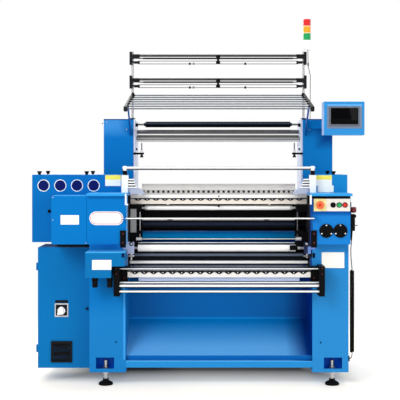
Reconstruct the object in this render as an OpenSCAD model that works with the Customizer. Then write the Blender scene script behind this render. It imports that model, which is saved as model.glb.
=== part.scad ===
// Warp crochet knitting machine: two welded side frames joined by beams, a needle zone between them,
// feed rollers and a yarn stand above, cloth rollers and a chute below, a drive box and an electrical
// cabinet on the left, a control box and a swivel screen on the right.
// X runs across the machine, Y from the front to the back, Z up from the floor, in millimetres.

/* [Side frames] */
// Clear width between the two side frames
gap_w = 1064; // [980:1:1300]
// Width of each side frame
frame_w = 207; // [190:1:240]
// Depth of the side frames from front to back
frame_d = 800; // [780:1:900]
// Underside of the side frames above the floor
frame_base_z = 78; // [70:1:110]
// Top of the front stage, level with the needle zone
stage_top_z = 1086; // [1060:1:1150]
// Top of the back columns
column_top_z = 1549; // [1520:1:1650]
// Depth of the back columns
column_d = 273; // [240:1:273]
// Width of the back columns
column_w = 186; // [160:1:200]
// Wall of the welded frames
frame_wall = 8; // [5:0.5:10]
// Thickness of the bright side plates on the inner faces
plate_t = 10; // [8:0.5:12]
// Width of the window at the foot of each frame
window_w = 104; // [80:1:120]
// Height of the window at the foot of each frame
window_h = 64; // [40:1:80]

/* [Feet] */
// Distance of each foot from the frame's inner face
foot_inset = 118; // [90:1:120]
// Distance of each foot from the frame's front or back
foot_edge = 42; // [42:1:60]
// Diameter of a foot pad
pad_d = 82; // [60:1:84]
// Height of a foot pad
pad_h = 34; // [25:1:40]
// Diameter of a levelling stud
stud_d = 22; // [16:1:24]

/* [Beams] */
// Height of the front beam's face
beam_h = 44; // [30:1:50]
// Depth of the front beam
beam_d = 60; // [40:1:80]
// Front face of the front beam
beam_y = 292; // [290:1:300]
// Wall of the beams
beam_wall = 5; // [3:0.5:8]
// Width of the rack braces' flat bar
brace_w = 22; // [16:1:30]
// Thickness of the rack braces
brace_t = 8; // [5:0.5:10]

/* [Chute] */
// Sheet thickness of the cloth chute
sheet_t = 3; // [2:0.25:4]
// Place of the chute's upright back panel
chute_back_y = 300; // [295:1:320]
// Height of the fold between the back panel and the slope
chute_fold_z = 331; // [300:1:360]
// Height of the slope's front edge
chute_edge_z = 170; // [155:1:190]
// Height of the front apron
apron_h = 36; // [25:1:45]

/* [Needle zone] */
// Front face of the bed beam
bed_y = 262; // [260:1:270]
// Depth of the bed beam
bed_d = 130; // [100:1:150]
// Height of the bed beam
bed_h = 126; // [100:1:140]
// Length of the comb across the machine
comb_len = 916; // [700:1:940]
// Distance between the comb's teeth
comb_pitch = 10; // [8:0.5:14]
// Distance between the windows under the comb
slot_pitch = 29.8; // [20:0.1:40]
// Side of each square window under the comb
slot_size = 14; // [6:0.5:15]
// Height of the needle bar
bar_h = 55; // [30:1:60]
// Thickness of the needle bar
bar_t = 16; // [12:1:18]
// Diameter of the needle bar's guide rods
bar_rod_d = 20; // [14:1:24]
// Distance of each guide rod from the machine's middle
bar_rod_x = 300; // [200:1:380]
// Distance between the lobes of a clamp plate
lobe_pitch = 52.8; // [40:0.1:60]
// Thickness of a clamp plate
clamp_t = 4; // [3:0.5:6]
// Height of the upper clamp plate at its lobes
upper_clamp_h = 16; // [12:0.5:20]
// Diameter of the guide bar tube
guide_bar_d = 26.6; // [20:0.1:28]
// Length of the guide bar tube
guide_bar_len = 874; // [700:1:880]

/* [Cloth rollers] */
// Diameter of the black cloth roller
cloth_d = 65; // [50:1:66]
// Diameter of the white take-down roller
white_d = 40; // [30:1:41]
// Diameter of the rubber grip roller
grip_d = 46; // [36:1:47]
// Diameter of the chrome press roller
press_d = 26; // [20:1:27]
// Diameter of the knurled spreader roller
spread_d = 17; // [12:1:18]
// Depth of the take-down rollers' shared centre plane
takedown_y = 100; // [90:1:110]
// Height of the lower clamp plate at its lobes
lower_clamp_h = 19; // [14:0.5:24]

/* [Feed rollers] */
// Diameter of the rubber feed roller
rubber_d = 37; // [28:1:42]
// Diameter of the upper chrome feed roller
upper_feed_d = 27; // [20:1:30]
// Diameter of the lower chrome feed roller
lower_feed_d = 47; // [36:1:50]
// How far the feed rollers' shared centre plane lies behind the columns' front
feed_back = 93; // [73:1:170]

/* [Lift rod] */
// Diameter of the chrome lift rod
lift_d = 21; // [14:1:24]
// Height of each guide block
block_h = 101; // [80:1:110]
// Width of each guide block
block_w = 38; // [30:1:38]
// Diameter of the spindles that carry the lift rod
spindle_d = 12; // [8:1:14]

/* [Electrical cabinet] */
// Width of the cabinet
cabinet_w = 315; // [280:1:330]
// Height of the cabinet
cabinet_h = 702; // [600:1:715]
// Depth of the cabinet behind its door
cabinet_d = 230; // [180:1:260]
// Sheet of the cabinet and its door
cabinet_wall = 3; // [2:0.5:4]
// Thickness of the folded door
door_t = 20; // [15:1:24]
// Side of the square vent grille
vent_w = 122; // [90:1:150]

/* [Drive box and covers] */
// Width of the drive box left of the frame
drive_w = 356; // [345:1:380]
// Gap between the boxes on the stage and the columns behind them
drive_gap = 57; // [40:1:90]
// Front face of the drive box
drive_y = 150; // [140:1:170]
// Height of the boxes above the stage
box_rise = 117; // [90:1:140]
// Sheet of the drive box and the covers
cover_wall = 3; // [2:0.5:4]
// How far the front covers stand off the frames
cover_d = 70; // [50:1:80]
// Height of the front covers
cover_h = 273; // [250:1:290]
// Thickness of the shelves on top of the front covers
shelf_t = 14; // [8:1:16]
// How far the shelves overhang the front covers
shelf_lip = 25; // [10:1:35]
// Depth of the take-down gearbox cover
gear_cover_d = 150; // [120:1:160]

/* [Control box] */
// Height of the button panel
panel_h = 70; // [60:1:80]
// Diameter of the stop mushroom
mushroom_d = 46; // [35:1:50]
// Diameter of a push button's cap
button_d = 22; // [16:1:24]
// Travel of a push button
button_travel = 3; // [2:0.5:4]
// Diameter of the round bearing covers
disc_d = 78; // [60:1:78]

/* [Screen] */
// Width of the screen housing
screen_w = 232; // [200:1:240]
// Height of the screen housing
screen_h = 191; // [160:1:200]
// Depth of the screen housing
screen_d = 100; // [60:1:100]
// Side of the square screen arm
arm_w = 50; // [40:1:50]

/* [Yarn stand] */
// Height of the uprights above the columns
upright_h = 426; // [380:1:500]
// Diameter of the uprights
upright_d = 15; // [12:1:20]
// Diameter of the thick yarn rails
rail_d = 16; // [10:1:18]
// Drop from the upper to the lower set of rails
rail_step = 149; // [120:1:180]
// Length of the rack's slope
rack_len = 556; // [540:1:570]
// Angle of the rack's slope
rack_angle = 12.6; // [8:0.1:16]
// Diameter of the rack's rods
rack_rod_d = 9; // [6:0.5:12]
// Number of rods in the rack
rack_rods = 7; // [5:1:9]

/* [Signal tower] */
// Diameter of the tower
tower_d = 50; // [40:1:60]
// Height of the tower's base
tower_base_h = 57; // [40:1:70]
// Height of each lens
lens_h = 43.5; // [30:0.5:55]

/* [Drive train] */
// Diameter of the main shaft
shaft_d = 40; // [30:1:45]
// Diameter of the pulley on the main shaft
pulley_d = 180; // [140:1:190]
// Diameter of the pulley on the motor
motor_pulley_d = 90; // [70:1:110]
// Diameter of the motor
motor_d = 160; // [130:1:170]
// Length of the motor
motor_len = 250; // [220:1:300]

/* [Curly cord] */
// Diameter of the cord
cord_d = 5; // [5:0.5:8]
// Outer diameter of its curls
curl_d = 26; // [22:1:30]

/* [Hidden] */

// Running fit of a shaft, a spindle or a pin in its hole, on the radius
fit = 0.05;
// Free gap between pieces that never touch
gap = 0.4;

inner_x = gap_w / 2;
outer_x = inner_x + frame_w;
plate_x = inner_x - plate_t;
column_y = frame_d - column_d;
feed_y = column_y + feed_back;
foot_x = inner_x + foot_inset;
blue = [0.05, 0.45, 0.82];
light_blue = [0.2, 0.56, 0.87];
bright = [0.82, 0.83, 0.88];
cream = [0.93, 0.91, 0.86];
dark = [0.07, 0.07, 0.08];
chrome = [0.86, 0.87, 0.89];
steel = [0.62, 0.64, 0.66];

// Needle zone, measured down from the stage and back from the front face
bar_y = bed_y - 82;
bar_top = stage_top_z - 1;
clamp_top = bar_top - 20;
bar_rod_z = bar_top - 50;
bed_top = stage_top_z - 20;
comb_front_y = bed_y - 56;
slot_z = stage_top_z + 16;
comb_z = stage_top_z + 24;
comb_y = comb_front_y + 16;
comb_run = bed_y - 12 - comb_y;
comb_face = comb_run * sqrt(2);
bar_stroke = 8;
guide_bar_y = bed_y - 47;
guide_bar_z = stage_top_z - 80;
guide_bar_journal = 14;
end_block_d = 122;
end_block_h = 41;
end_block_x = guide_bar_len / 2 + 18;
cloth_y = bed_y - 62;
cloth_z = stage_top_z - 184;
nylon_y = bed_y - 112;
nylon_z = stage_top_z - 260;
second_rod_z = nylon_z - 22;
nylon_x = inner_x - 64;
nylon_w = 31;
nylon_rod_d = 8;
nylon_d = 28;
push_rod_x = inner_x - 70;
push_rod_d = 8;
holder_top = nylon_z + 40;
bar_plate_t = 8;
wing_t = 6;
hanger_y = bed_y - 22;
strip_t = 8;
strip_h = 96;
beam_top = stage_top_z - 224;
chute_top = beam_top - beam_h - gap;

// Take-down rollers stacked under one another, each clear of the next
white_z = stage_top_z - 309;
grip_z = white_z - white_d / 2 - grip_d / 2 - 1.8;
press_z = grip_z - grip_d / 2 - press_d / 2 - 1;
spread_z = press_z - press_d / 2 - spread_d / 2 - 2.6;
cloth_end = 82;
white_end = 86;
white_end_left = 63;
grip_end = 43;
chrome_end = 17;
spread_end = 42;
white_journal = 16;
grip_journal = 18;
press_journal = 14;
spread_journal = 10;
cloth_journal = 25;
feed_journal = 12;
boss_t = 6;
boss_rim = 6;

// Front guide unit: the brackets on the frames' front faces and what they carry
bracket_top = stage_top_z - 392;
bracket_h = 169;
bracket_d = 115;
bracket_out = 58;
bracket_in = 26;
bracket_block_h = 85;
bracket_block_d = 50;
front_rod_d = 10;
front_rod_y = -60;
front_rod_z = bracket_top - 19.4;
low_rods = [[-80, bracket_top - 94.6, 13.5], [-95, bracket_top - 110.4, 20],
    [-100, bracket_top - 141.4, 16]];
lower_bar_t = 10;
lower_bar_y = -46;
lower_bar_top = bracket_top - 32;
lower_bar_h = 37;
lower_lip_set = 20;
lower_lip_h = 22;
lower_len = (inner_x - bracket_in + 11) * 2;
lip_len = 912;

// Feed rollers between the columns
rubber_z = column_top_z - 30.5;
upper_feed_z = column_top_z - 77.2;
lower_feed_z = column_top_z - 118.7;
rubber_len = 922;
arm_z = column_top_z - 217;

// Covers and boxes beside the stage
cover_top = stage_top_z;
cover_bottom = cover_top - cover_h;
strip_top = cover_top - 194;
shelf_top = stage_top_z + shelf_t;
box_top = stage_top_z + box_rise;
drive_d = column_y - drive_gap - drive_y;
drive_left = -outer_x - drive_w;
drive_bottom = cover_bottom - 6;
extension_right = -inner_x - 36;
seam_x = -outer_x - 6;
cover_left = -outer_x - 205;
cover_right = -inner_x + 10;
gear_top = stage_top_z - 310;
gear_h = 142;
gear_notch_z = bracket_top + 4;
gear_notch_x = -inner_x - bracket_out - 10;
plug_d = 35;
plug_h = 58;
knob_d = 28;
knob_h = 21;
upper_box_left = inner_x + 33;
upper_box_w = 190;

// Electrical cabinet beside the left frame
cabinet_right = -outer_x;
cabinet_left = cabinet_right - cabinet_w;
cabinet_y = 133.5;
cabinet_mid = (cabinet_left + cabinet_right) / 2 - 19;
hinge_r = 6;
hinge_pin_r = 3;
hinge_x = cabinet_left - hinge_r - 0.5;
hinge_y = cabinet_y - hinge_r;
knuckle_h = 22;
hinge_zs = [frame_base_z + 90, frame_base_z + cabinet_h - 134];
switch_z = frame_base_z + 334;
switch_w = 79;
switch_bore = 18;
strip_label_h = 15;
vent_z = frame_base_z + 95;
lock_z = switch_z + 11;

// Lift rod on the guide blocks
lift_y = 120;
block_x = inner_x + 15;
cap_w = 24;
cap_h = 26;
lift_z = shelf_top + block_h + cap_h + 3.5 + lift_d / 2;
spindle_reach = 80;
stub_len = 50;
stubs = 4;
stub_h = 8;
stub_rise = 15;
stub_step = 5;
stub_foot = 26;
weft_x = block_x - block_w / 2 - 66;
shelf_end = inner_x - 14;

// Start rod in front of the covers
start_y = -cover_d - 20;
start_z = stage_top_z - 126;
start_d = 11;
start_half = inner_x + 14;
eye_t = 12;

// Control box
control_right = outer_x;
control_left = inner_x - 4;
control_bottom = stage_top_z - 273;
panel_top = stage_top_z - 16;
panel_t = 2;
button_z = panel_top - panel_h / 2;
stop_x = inner_x + 34;
button_xs = [inner_x + 108.5, inner_x + 143, inner_x + 175.5];
ring_d = button_d + 8;
ring_t = 4;
stem_d = 18;
stop_travel = 5;
disc_z = control_bottom + 77;
disc_xs = [inner_x + 70.6, inner_x + 150];
disc_t = 8;
isolator_w = 28;
isolator_d = 50;
isolator_h = 94;
isolator_y = -30;
isolator_z = control_bottom + 75;
isolator_plate_h = 67;
isolator_knob_d = 34;
isolator_knob_z = isolator_z + isolator_h + 24;
isolator_stem_d = 10;
relief_x = outer_x + 11;
relief_foot = isolator_z - 56;

// Screen on its arm
screen_mid_x = inner_x + 182;
screen_mid_z = column_top_z - 22.5;
screen_left = screen_mid_x - screen_w / 2;
screen_right = screen_mid_x + screen_w / 2;
arm_z_low = column_top_z - 61;
swivel_y = screen_d + 22;
swivel_r = 18;
swivel_pin_r = 8;
arm_start_x = inner_x + 35;

// Yarn stand
upright_x = inner_x + 6;
upright_y = column_y + 19;
upright_top = column_top_z + upright_h;
rail_y = upright_y - upright_d / 2 - rail_d / 2;
rail_z = upright_top - 28;
black_rail_d = 10.6;
wire_d = 4;
rack_far_z = column_top_z + 151;
rack_bar_h = 24;
rack_bar_t = 12;
rack_far_y = upright_y - upright_d / 2 - rack_bar_h / 2 * sin(rack_angle) - gap;
brace_foot_z = column_top_z - 81;

// Signal tower on a small shelf at the right upright's top
tower_x = inner_x + 27.6;
tower_shelf_t = 4;
tower_rise = 10;
tower_foot = upright_top + tower_rise + tower_shelf_t;
tower_wire_d = 4;
tower_wire = [[tower_x + 6, upright_y, upright_top + tower_rise],
    [tower_x + 8, upright_y, upright_top - 91], [tower_x + 22, upright_y, upright_top - 152],
    [tower_x + 20, upright_y, column_top_z]];

// Drive train
main_y = 480;
main_z = stage_top_z - 126;
motor_y = 500;
motor_z = frame_base_z + 212;
pulley_x = -inner_x - 90;
pulley_w = 40;
belt_t = 8;
motor_shaft_d = 28;
eccentric_d = 90;
eccentric_offset = 8;
eccentric_t = 30;

// Curly cord: its two straight stretches, and the height of its curls
curl_x = outer_x + 21;
curl_y = 10;
curl_top = 660;
curl_bottom = 190;
upper_route = [[750, -30, 832], [750, -30, 820], [749, -29, 806], [748, -27, 790], [748, -24, 772],
    [749, -19, 752], [751, -12, 730], [754, -4, 710], [757, 4, 690], [759, 9, 676], [760, 10, 667],
    [760, 10, 660]];
lower_route = [[760, 10, 190], [760, 10, 180], [759, 10, 170], [756, 10, 161], [750, 10, 156],
    [744, 10, 155], [739, 10, 155]];
cord_sides = 10;

// The middle of the whole machine, which the origin lies under
x_mid = (drive_left + screen_right) / 2;
y_mid = (frame_d - gear_cover_d) / 2;

// Everything is drawn about the frames' middle and front, and moved over the origin here
module placed() translate([-x_mid, -y_mid, 0]) children();

// A round bar along X, centred on the machine's middle
module rod_x(len, d, y, z) translate([-len / 2, y, z]) rotate([0, 90, 0])
    cylinder(h = len, d = d, $fn = 48);

// A round bar along X from one place to another
module rod_between(x0, x1, d, y, z) translate([x0, y, z]) rotate([0, 90, 0])
    cylinder(h = x1 - x0, d = d, $fn = 48);

// A profile given in Y and Z, extruded along X from x0
module along_x(x0, len) translate([x0, 0, 0]) rotate([90, 0, 90]) linear_extrude(len) children();

// A profile given in X and Z, extruded along Y from y0
module along_y(y0, len) translate([0, y0 + len, 0]) rotate([90, 0, 0]) linear_extrude(len) children();

// A straight round bar from one point to another
module bar_between(p, q, d) {
    run = q - p;
    flat = norm([run[0], run[1]]);
    translate(p) rotate([0, atan2(flat, run[2]), atan2(run[1], run[0])])
        cylinder(h = norm(run), d = d, $fn = 24);
}

// The same piece on both sides
module both_sides() {
    children();
    mirror([1, 0, 0]) children();
}

// Bent sheet of even thickness along a run of points, with rounded folds
module bent_sheet(points, t) {
    for (i = [0 : len(points) - 2]) {
        run = points[i + 1] - points[i];
        translate(points[i]) rotate(atan2(run[1], run[0])) translate([0, -t / 2]) square([norm(run), t]);
    }
    for (i = [1 : len(points) - 2]) translate(points[i]) circle(d = t, $fn = 24);
}

// Straight top edge over a row of rounded lobes, hanging down from the origin
module lobed_outline(half_len, deep, shallow) {
    lobes = 2 * floor(half_len / lobe_pitch - 0.5) + 1;
    reach = lobe_pitch * lobes / 2;
    steps = lobes * 8;
    edge = [for (i = [0 : steps])
        let (x = -reach + i * 2 * reach / steps, swing = (1 + cos(360 * (x / lobe_pitch))) / 2)
        [x, -shallow - (deep - shallow) * pow(swing, 0.8)]];
    polygon(concat([[-half_len, 0], [-half_len, -shallow]], edge, [[half_len, -shallow], [half_len, 0]]));
}

// A roller with a journal at each end, which runs in the side plates
module roller(len, d, journal, y, z) {
    rod_x(len, d, y, z);
    rod_x(2 * inner_x - 1, journal, y, z);
}

// Round bar swept along a route, as a closed many-sided tube
function unit(v) = v / norm(v);
function tangent(p, i) = unit(p[min(i + 1, len(p) - 1)] - p[max(i - 1, 0)]);
function ring_at(p, i, r) =
    let (t = tangent(p, i), side = unit(cross(t, [0, 1, 0])), up = cross(side, t))
    [for (a = [0 : 360 / cord_sides : 359]) p[i] + r * (cos(a) * side + sin(a) * up)];
module cord_tube(p, r) {
    n = cord_sides;
    points = [for (i = [0 : len(p) - 1]) each ring_at(p, i, r)];
    walls = [for (i = [0 : len(p) - 2], k = [0 : n - 1])
        [i * n + k, i * n + (k + 1) % n, (i + 1) * n + (k + 1) % n, (i + 1) * n + k]];
    start_cap = [for (k = [0 : n - 1]) n - 1 - k];
    end_cap = [for (k = [0 : n - 1]) (len(p) - 1) * n + k];
    polyhedron(points, concat(walls, [start_cap, end_cap]));
}

// Side frame: a hollow weldment with a deep foot, a stage and a narrower back column
module side_frame(x0, drive_side) {
    w = frame_wall;
    column_x = drive_side ? -inner_x - column_w : inner_x;
    foot = drive_side ? -foot_x : foot_x;
    difference() {
        union() {
            translate([x0, 0, frame_base_z]) cube([frame_w, frame_d, stage_top_z - frame_base_z]);
            translate([column_x, column_y, frame_base_z])
                cube([column_w, column_d, column_top_z - frame_base_z]);
        }
        translate([x0 + w, w, frame_base_z + w])
            cube([frame_w - 2 * w, frame_d - 2 * w, stage_top_z - frame_base_z - 2 * w]);
        translate([column_x + w, column_y + w, frame_base_z + w])
            cube([column_w - 2 * w, column_d - 2 * w, column_top_z - frame_base_z - 2 * w]);
        translate([foot - window_w / 2, -1, frame_base_z + 20]) cube([window_w, w + 2, window_h]);
        for (y = [foot_edge, frame_d - foot_edge])
            translate([foot, y, frame_base_z - 1]) cylinder(h = w + 2, d = stud_d + 1, $fn = 48);
        if (drive_side) {
            rod_between(-inner_x - w - 1, -inner_x + 1, shaft_d + 6, main_y, main_z);
            rod_between(-inner_x - w - 1, -inner_x + 1, motor_shaft_d + 12, motor_y, motor_z);
        }
    }
}
module left_frame() color(blue) side_frame(-outer_x, true);
module right_frame() color(blue) side_frame(inner_x, false);

// Bright plates on the inner faces, with the bosses that carry every roller
module side_plate() {
    low_z = spread_z - 70;
    take = [[white_z, white_journal], [grip_z, grip_journal], [press_z, press_journal],
        [spread_z, spread_journal]];
    feed = [rubber_z, upper_feed_z, lower_feed_z];
    difference() {
        union() {
            along_x(plate_x, plate_t) polygon([[20, low_z], [beam_y - 6, low_z],
                [beam_y - 6, beam_top - beam_h], [frame_d, beam_top - beam_h], [frame_d, column_top_z - 6],
                [column_y + 6, column_top_z - 6], [column_y + 6, stage_top_z - 2], [20, stage_top_z - 2]]);
            for (t = take)
                rod_between(plate_x - boss_t, plate_x + 1, t[1] + 2 * boss_rim, takedown_y, t[0]);
            for (z = feed)
                rod_between(plate_x - boss_t, plate_x + 1, feed_journal + 2 * boss_rim, feed_y, z);
            rod_between(plate_x - boss_t, plate_x + 1, cloth_journal + 2 * boss_rim, cloth_y, cloth_z);
            rod_between(plate_x - boss_t, plate_x + 1, shaft_d + 24, main_y, main_z);
        }
        for (t = take) rod_between(plate_x - 20, inner_x + 1, t[1] + 2 * fit, takedown_y, t[0]);
        for (z = feed) rod_between(plate_x - 20, inner_x + 1, feed_journal + 2 * fit, feed_y, z);
        rod_between(plate_x - 20, inner_x + 1, cloth_journal + 2 * fit, cloth_y, cloth_z);
        rod_between(plate_x - 20, inner_x + 1, shaft_d + 2 * fit, main_y, main_z);
        for (z = [arm_z + 55, arm_z - 80, stage_top_z + 60], y = [column_y + 40, frame_d - 60])
            rod_between(plate_x - 1, inner_x + 1, 14, y, z);
    }
}
module wing_plate() {
    in = nylon_x + nylon_w / 2 + gap;
    out = inner_x + 16;
    along_y(-wing_t, wing_t) polygon([[in, gear_top - 22], [plate_x + 1, gear_top - 22],
        [plate_x + 1, gear_top + 3], [out, gear_top + 3], [out, cover_bottom - 13],
        [out - 8, cover_bottom - 2], [plate_x - 1, cover_bottom - 2], [plate_x - 1, cover_bottom + 9],
        [in, cover_bottom + 9]]);
    translate([plate_x, -wing_t, gear_top + 3]) cube([plate_t, 21 + wing_t, cover_bottom - gear_top - 5]);
}
module side_plates() color(bright) {
    both_sides() {
        side_plate();
        wing_plate();
        translate([push_rod_x, nylon_y, nylon_z + nylon_d / 2 + gap])
            cylinder(h = guide_bar_z - end_block_h / 2 - nylon_z - nylon_d / 2 - gap, d = push_rod_d,
                $fn = 24);
    }
    translate([-inner_x + 16, bed_y - end_block_d - bar_plate_t, holder_top])
        cube([34, bar_plate_t, guide_bar_z - 3 - holder_top]);
}

// Front beam, low rear tie and the two braces of the yarn rack
module cross_members() color(blue) {
    along_x(-plate_x, 2 * plate_x) difference() {
        translate([beam_y, beam_top - beam_h]) square([beam_d, beam_h]);
        translate([beam_y + beam_wall, beam_top - beam_h + beam_wall])
            square([beam_d - 2 * beam_wall, beam_h - 2 * beam_wall]);
    }
    along_x(-inner_x, 2 * inner_x) difference() {
        translate([frame_d - 80, frame_base_z + 100]) square([60, 80]);
        translate([frame_d - 80 + beam_wall, frame_base_z + 100 + beam_wall])
            square([60 - 2 * beam_wall, 80 - 2 * beam_wall]);
    }
    both_sides() brace();
}

// One brace: a foot on the column's front and a flat bar up to the rack's side bar
module brace() {
    x0 = upright_x + rack_bar_t / 2 + 0.2;
    run_y = 234;
    top_z = rack_far_z - (rack_far_y - column_y + run_y) * tan(rack_angle);
    along_x(x0, brace_t) polygon([[column_y, brace_foot_z - brace_w], [column_y, brace_foot_z + brace_w],
        [column_y - 12, brace_foot_z + brace_w], [column_y - run_y + brace_w / 2, top_z + 4],
        [column_y - run_y - brace_w / 2, top_z - brace_w / 2], [column_y - 12, brace_foot_z - brace_w]]);
}

// Cloth chute: upright back panel, slope, and a folded apron along its foot, in one sheet
module tray() color(light_blue) {
    edge_y = 26;
    apron_z = chute_edge_z - 28;
    along_x(-inner_x, 2 * inner_x) bent_sheet([[chute_back_y, chute_top], [chute_back_y, chute_fold_z],
        [edge_y, chute_edge_z], [edge_y, apron_z], [3, apron_z], [3, apron_z - apron_h],
        [40, apron_z - apron_h]], sheet_t);
}

// Rubber foot pads with a socket for the stud
module foot_pads() color(dark) both_sides() for (y = [foot_edge, frame_d - foot_edge])
    translate([foot_x, y, 0]) rotate_extrude($fn = 64) difference() {
        union() {
            square([pad_d / 2, pad_h * 0.24]);
            translate([0, pad_h * 0.24]) intersection() {
                scale_h = pad_h * 0.5;
                square([pad_d / 2, scale_h]);
                translate([0, scale_h - pad_d / 2 * 1.45]) circle(r = pad_d / 2 * 1.45, $fn = 96);
            }
            translate([0, pad_h * 0.6]) square([stud_d * 0.78, pad_h * 0.4]);
        }
        translate([-1, pad_h * 0.55]) square([stud_d / 2 + fit + 1, pad_h]);
    }

// Levelling studs, each with a nut under and over the frame's bottom plate
module foot_bolts() color(chrome) both_sides() for (y = [foot_edge, frame_d - foot_edge])
    translate([foot_x, y, 0]) {
        translate([0, 0, pad_h * 0.55]) cylinder(h = frame_base_z + 62 - pad_h * 0.55, d = stud_d,
            $fn = 48);
        for (z = [frame_base_z - 16, frame_base_z + frame_wall])
            translate([0, 0, z]) cylinder(h = 16, d = stud_d * 1.75, $fn = 6);
    }

// Sheet cabinet, open at the front, with two hinge eyes and their pins
module cabinet() color(light_blue) {
    difference() {
        translate([cabinet_left, cabinet_y, frame_base_z]) cube([cabinet_w, cabinet_d, cabinet_h]);
        translate([cabinet_left + cabinet_wall, cabinet_y - 1, frame_base_z + cabinet_wall])
            cube([cabinet_w - 2 * cabinet_wall, cabinet_d + 1 - cabinet_wall,
                cabinet_h - 2 * cabinet_wall]);
    }
    for (z = hinge_zs) {
        difference() {
            union() {
                translate([hinge_x, hinge_y, z]) cylinder(h = knuckle_h, r = hinge_r, $fn = 32);
                translate([hinge_x - hinge_r, hinge_y, z]) cube([hinge_r * 2, 30, knuckle_h]);
            }
            translate([cabinet_left, hinge_y - hinge_r - 1, z - 1]) cube([20, 60, knuckle_h + 2]);
        }
        translate([cabinet_left - 1, cabinet_y + 4, z]) cube([1.5, 18, knuckle_h]);
        translate([hinge_x, hinge_y, z]) cylinder(h = 2 * knuckle_h, r = hinge_pin_r, $fn = 32);
    }
}

// Folded door that covers the cabinet's front, with its hinge eyes on the left
module cabinet_door() color(light_blue) {
    y0 = cabinet_y - gap - door_t;
    difference() {
        translate([cabinet_left, y0, frame_base_z]) cube([cabinet_w - 1, door_t, cabinet_h]);
        translate([cabinet_left + cabinet_wall, y0 + cabinet_wall, frame_base_z + cabinet_wall])
            cube([cabinet_w - 1 - 2 * cabinet_wall, door_t, cabinet_h - 2 * cabinet_wall]);
        translate([cabinet_mid, y0 - 1, switch_z]) rotate([-90, 0, 0])
            cylinder(h = 8, d = switch_bore, $fn = 32);
        for (i = [0 : 7]) translate([cabinet_mid - vent_w / 2 + 12, y0 - 1,
            vent_z - vent_w / 2 + 12 + i * (vent_w - 24) / 7.5])
                cube([vent_w - 24, cabinet_wall + 2, 6]);
    }
    for (z = hinge_zs) difference() {
        union() {
            translate([hinge_x, hinge_y, z + knuckle_h + gap])
                cylinder(h = knuckle_h - gap, r = hinge_r, $fn = 32);
            translate([hinge_x, hinge_y - hinge_r, z + knuckle_h + gap])
                cube([hinge_r + 2, 5, knuckle_h - gap]);
        }
        translate([hinge_x, hinge_y, z + knuckle_h - 1])
            cylinder(h = knuckle_h + 3, r = hinge_pin_r + fit, $fn = 32);
        translate([cabinet_left + 1, hinge_y - hinge_r - 1, z + knuckle_h - 1])
            cube([30, 30, knuckle_h + 4]);
    }
}

// Switch plate, vent grille and lock on the cabinet door
module door_fittings() color(dark) {
    face = cabinet_y - gap - door_t;
    difference() {
        translate([cabinet_mid - switch_w / 2, face - 5, switch_z + 3 - switch_w / 2])
            cube([switch_w, 5, switch_w]);
        translate([cabinet_mid, face - 6, switch_z]) rotate([-90, 0, 0])
            cylinder(h = 8, d = switch_bore, $fn = 32);
    }
    translate([cabinet_mid - switch_w / 2 + 3, face - 2, switch_z + switch_w / 2 + 6])
        cube([switch_w - 6, 2, strip_label_h]);
    difference() {
        translate([cabinet_mid - vent_w / 2, face - 9, vent_z - vent_w / 2]) cube([vent_w, 9, vent_w]);
        for (i = [0 : 9])
            translate([cabinet_mid - vent_w / 2 + 10, face - 10,
                vent_z - vent_w / 2 + 11 + i * (vent_w - 20) / 10])
                cube([vent_w - 20, 12, 5]);
    }
    translate([cabinet_right - 28, face - 6, lock_z]) rotate([-90, 0, 0]) difference() {
        cylinder(h = 6, r = 9, $fn = 32);
        translate([-1.5, -5, -1]) cube([3, 10, 4]);
    }
}

// Turning handle of the main switch: a drop-shaped grip that points down to the left, on a short shaft
module switch_handle() color(bright) {
    face = cabinet_y - gap - door_t;
    translate([cabinet_mid, face - 5 - gap, switch_z]) rotate([90, 0, 0]) {
        linear_extrude(7) circle(d = 44, $fn = 48);
        translate([0, 0, 7]) linear_extrude(16) union() {
            circle(d = 30, $fn = 48);
            rotate(225) {
                polygon([[0, -14], [20, -7], [20, 7], [0, 14]]);
                translate([19, 0]) circle(d = 15, $fn = 32);
            }
            translate([-5, 10]) square([10, 15]);
        }
        translate([0, 0, -20]) cylinder(h = 21, d = switch_bore - 2 * fit, $fn = 32);
    }
}

// Mounting plate with the motor inverter, breakers, contactors, terminals and a transformer
module control_gear() color(steel) {
    back = cabinet_y + cabinet_d - cabinet_wall;
    plate_y = back - 20;
    x0 = cabinet_left + 25;
    z0 = frame_base_z + 30;
    z1 = frame_base_z + cabinet_h - 30;
    difference() {
        translate([x0, plate_y, z0]) cube([cabinet_w - 50, 3, cabinet_h - 60]);
        for (x = [x0 + 12, x0 + cabinet_w - 62], z = [z0 + 12, z0 + cabinet_h - 72])
            translate([x, plate_y - 1, z]) rotate([-90, 0, 0]) cylinder(h = 5, r = 4, $fn = 24);
    }
    for (x = [x0 + 12, x0 + cabinet_w - 62], z = [z0 + 12, z0 + cabinet_h - 72])
        translate([x, plate_y + 3, z]) rotate([-90, 0, 0]) cylinder(h = 17, r = 6, $fn = 24);
    translate([x0 + 20, plate_y - 110, z1 - 242]) cube([110, 110, 180]);
    for (i = [0 : 4]) translate([x0 + 150 + i * 19, plate_y - 70, z1 - 162]) cube([17.5, 70, 85]);
    for (i = [0 : 1]) translate([x0 + 150 + i * 50, plate_y - 85, z1 - 302]) cube([45, 85, 75]);
    for (i = [0 : 15]) translate([x0 + 30 + i * 12.6, plate_y - 45, z1 - 392]) cube([12, 45, 55]);
    translate([x0 + 60, plate_y - 90, z0 + 60]) cube([120, 90, 110]);
    translate([x0 + 10, plate_y - 40, z1 - 317]) cube([30, 40, 60]);
}

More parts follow.
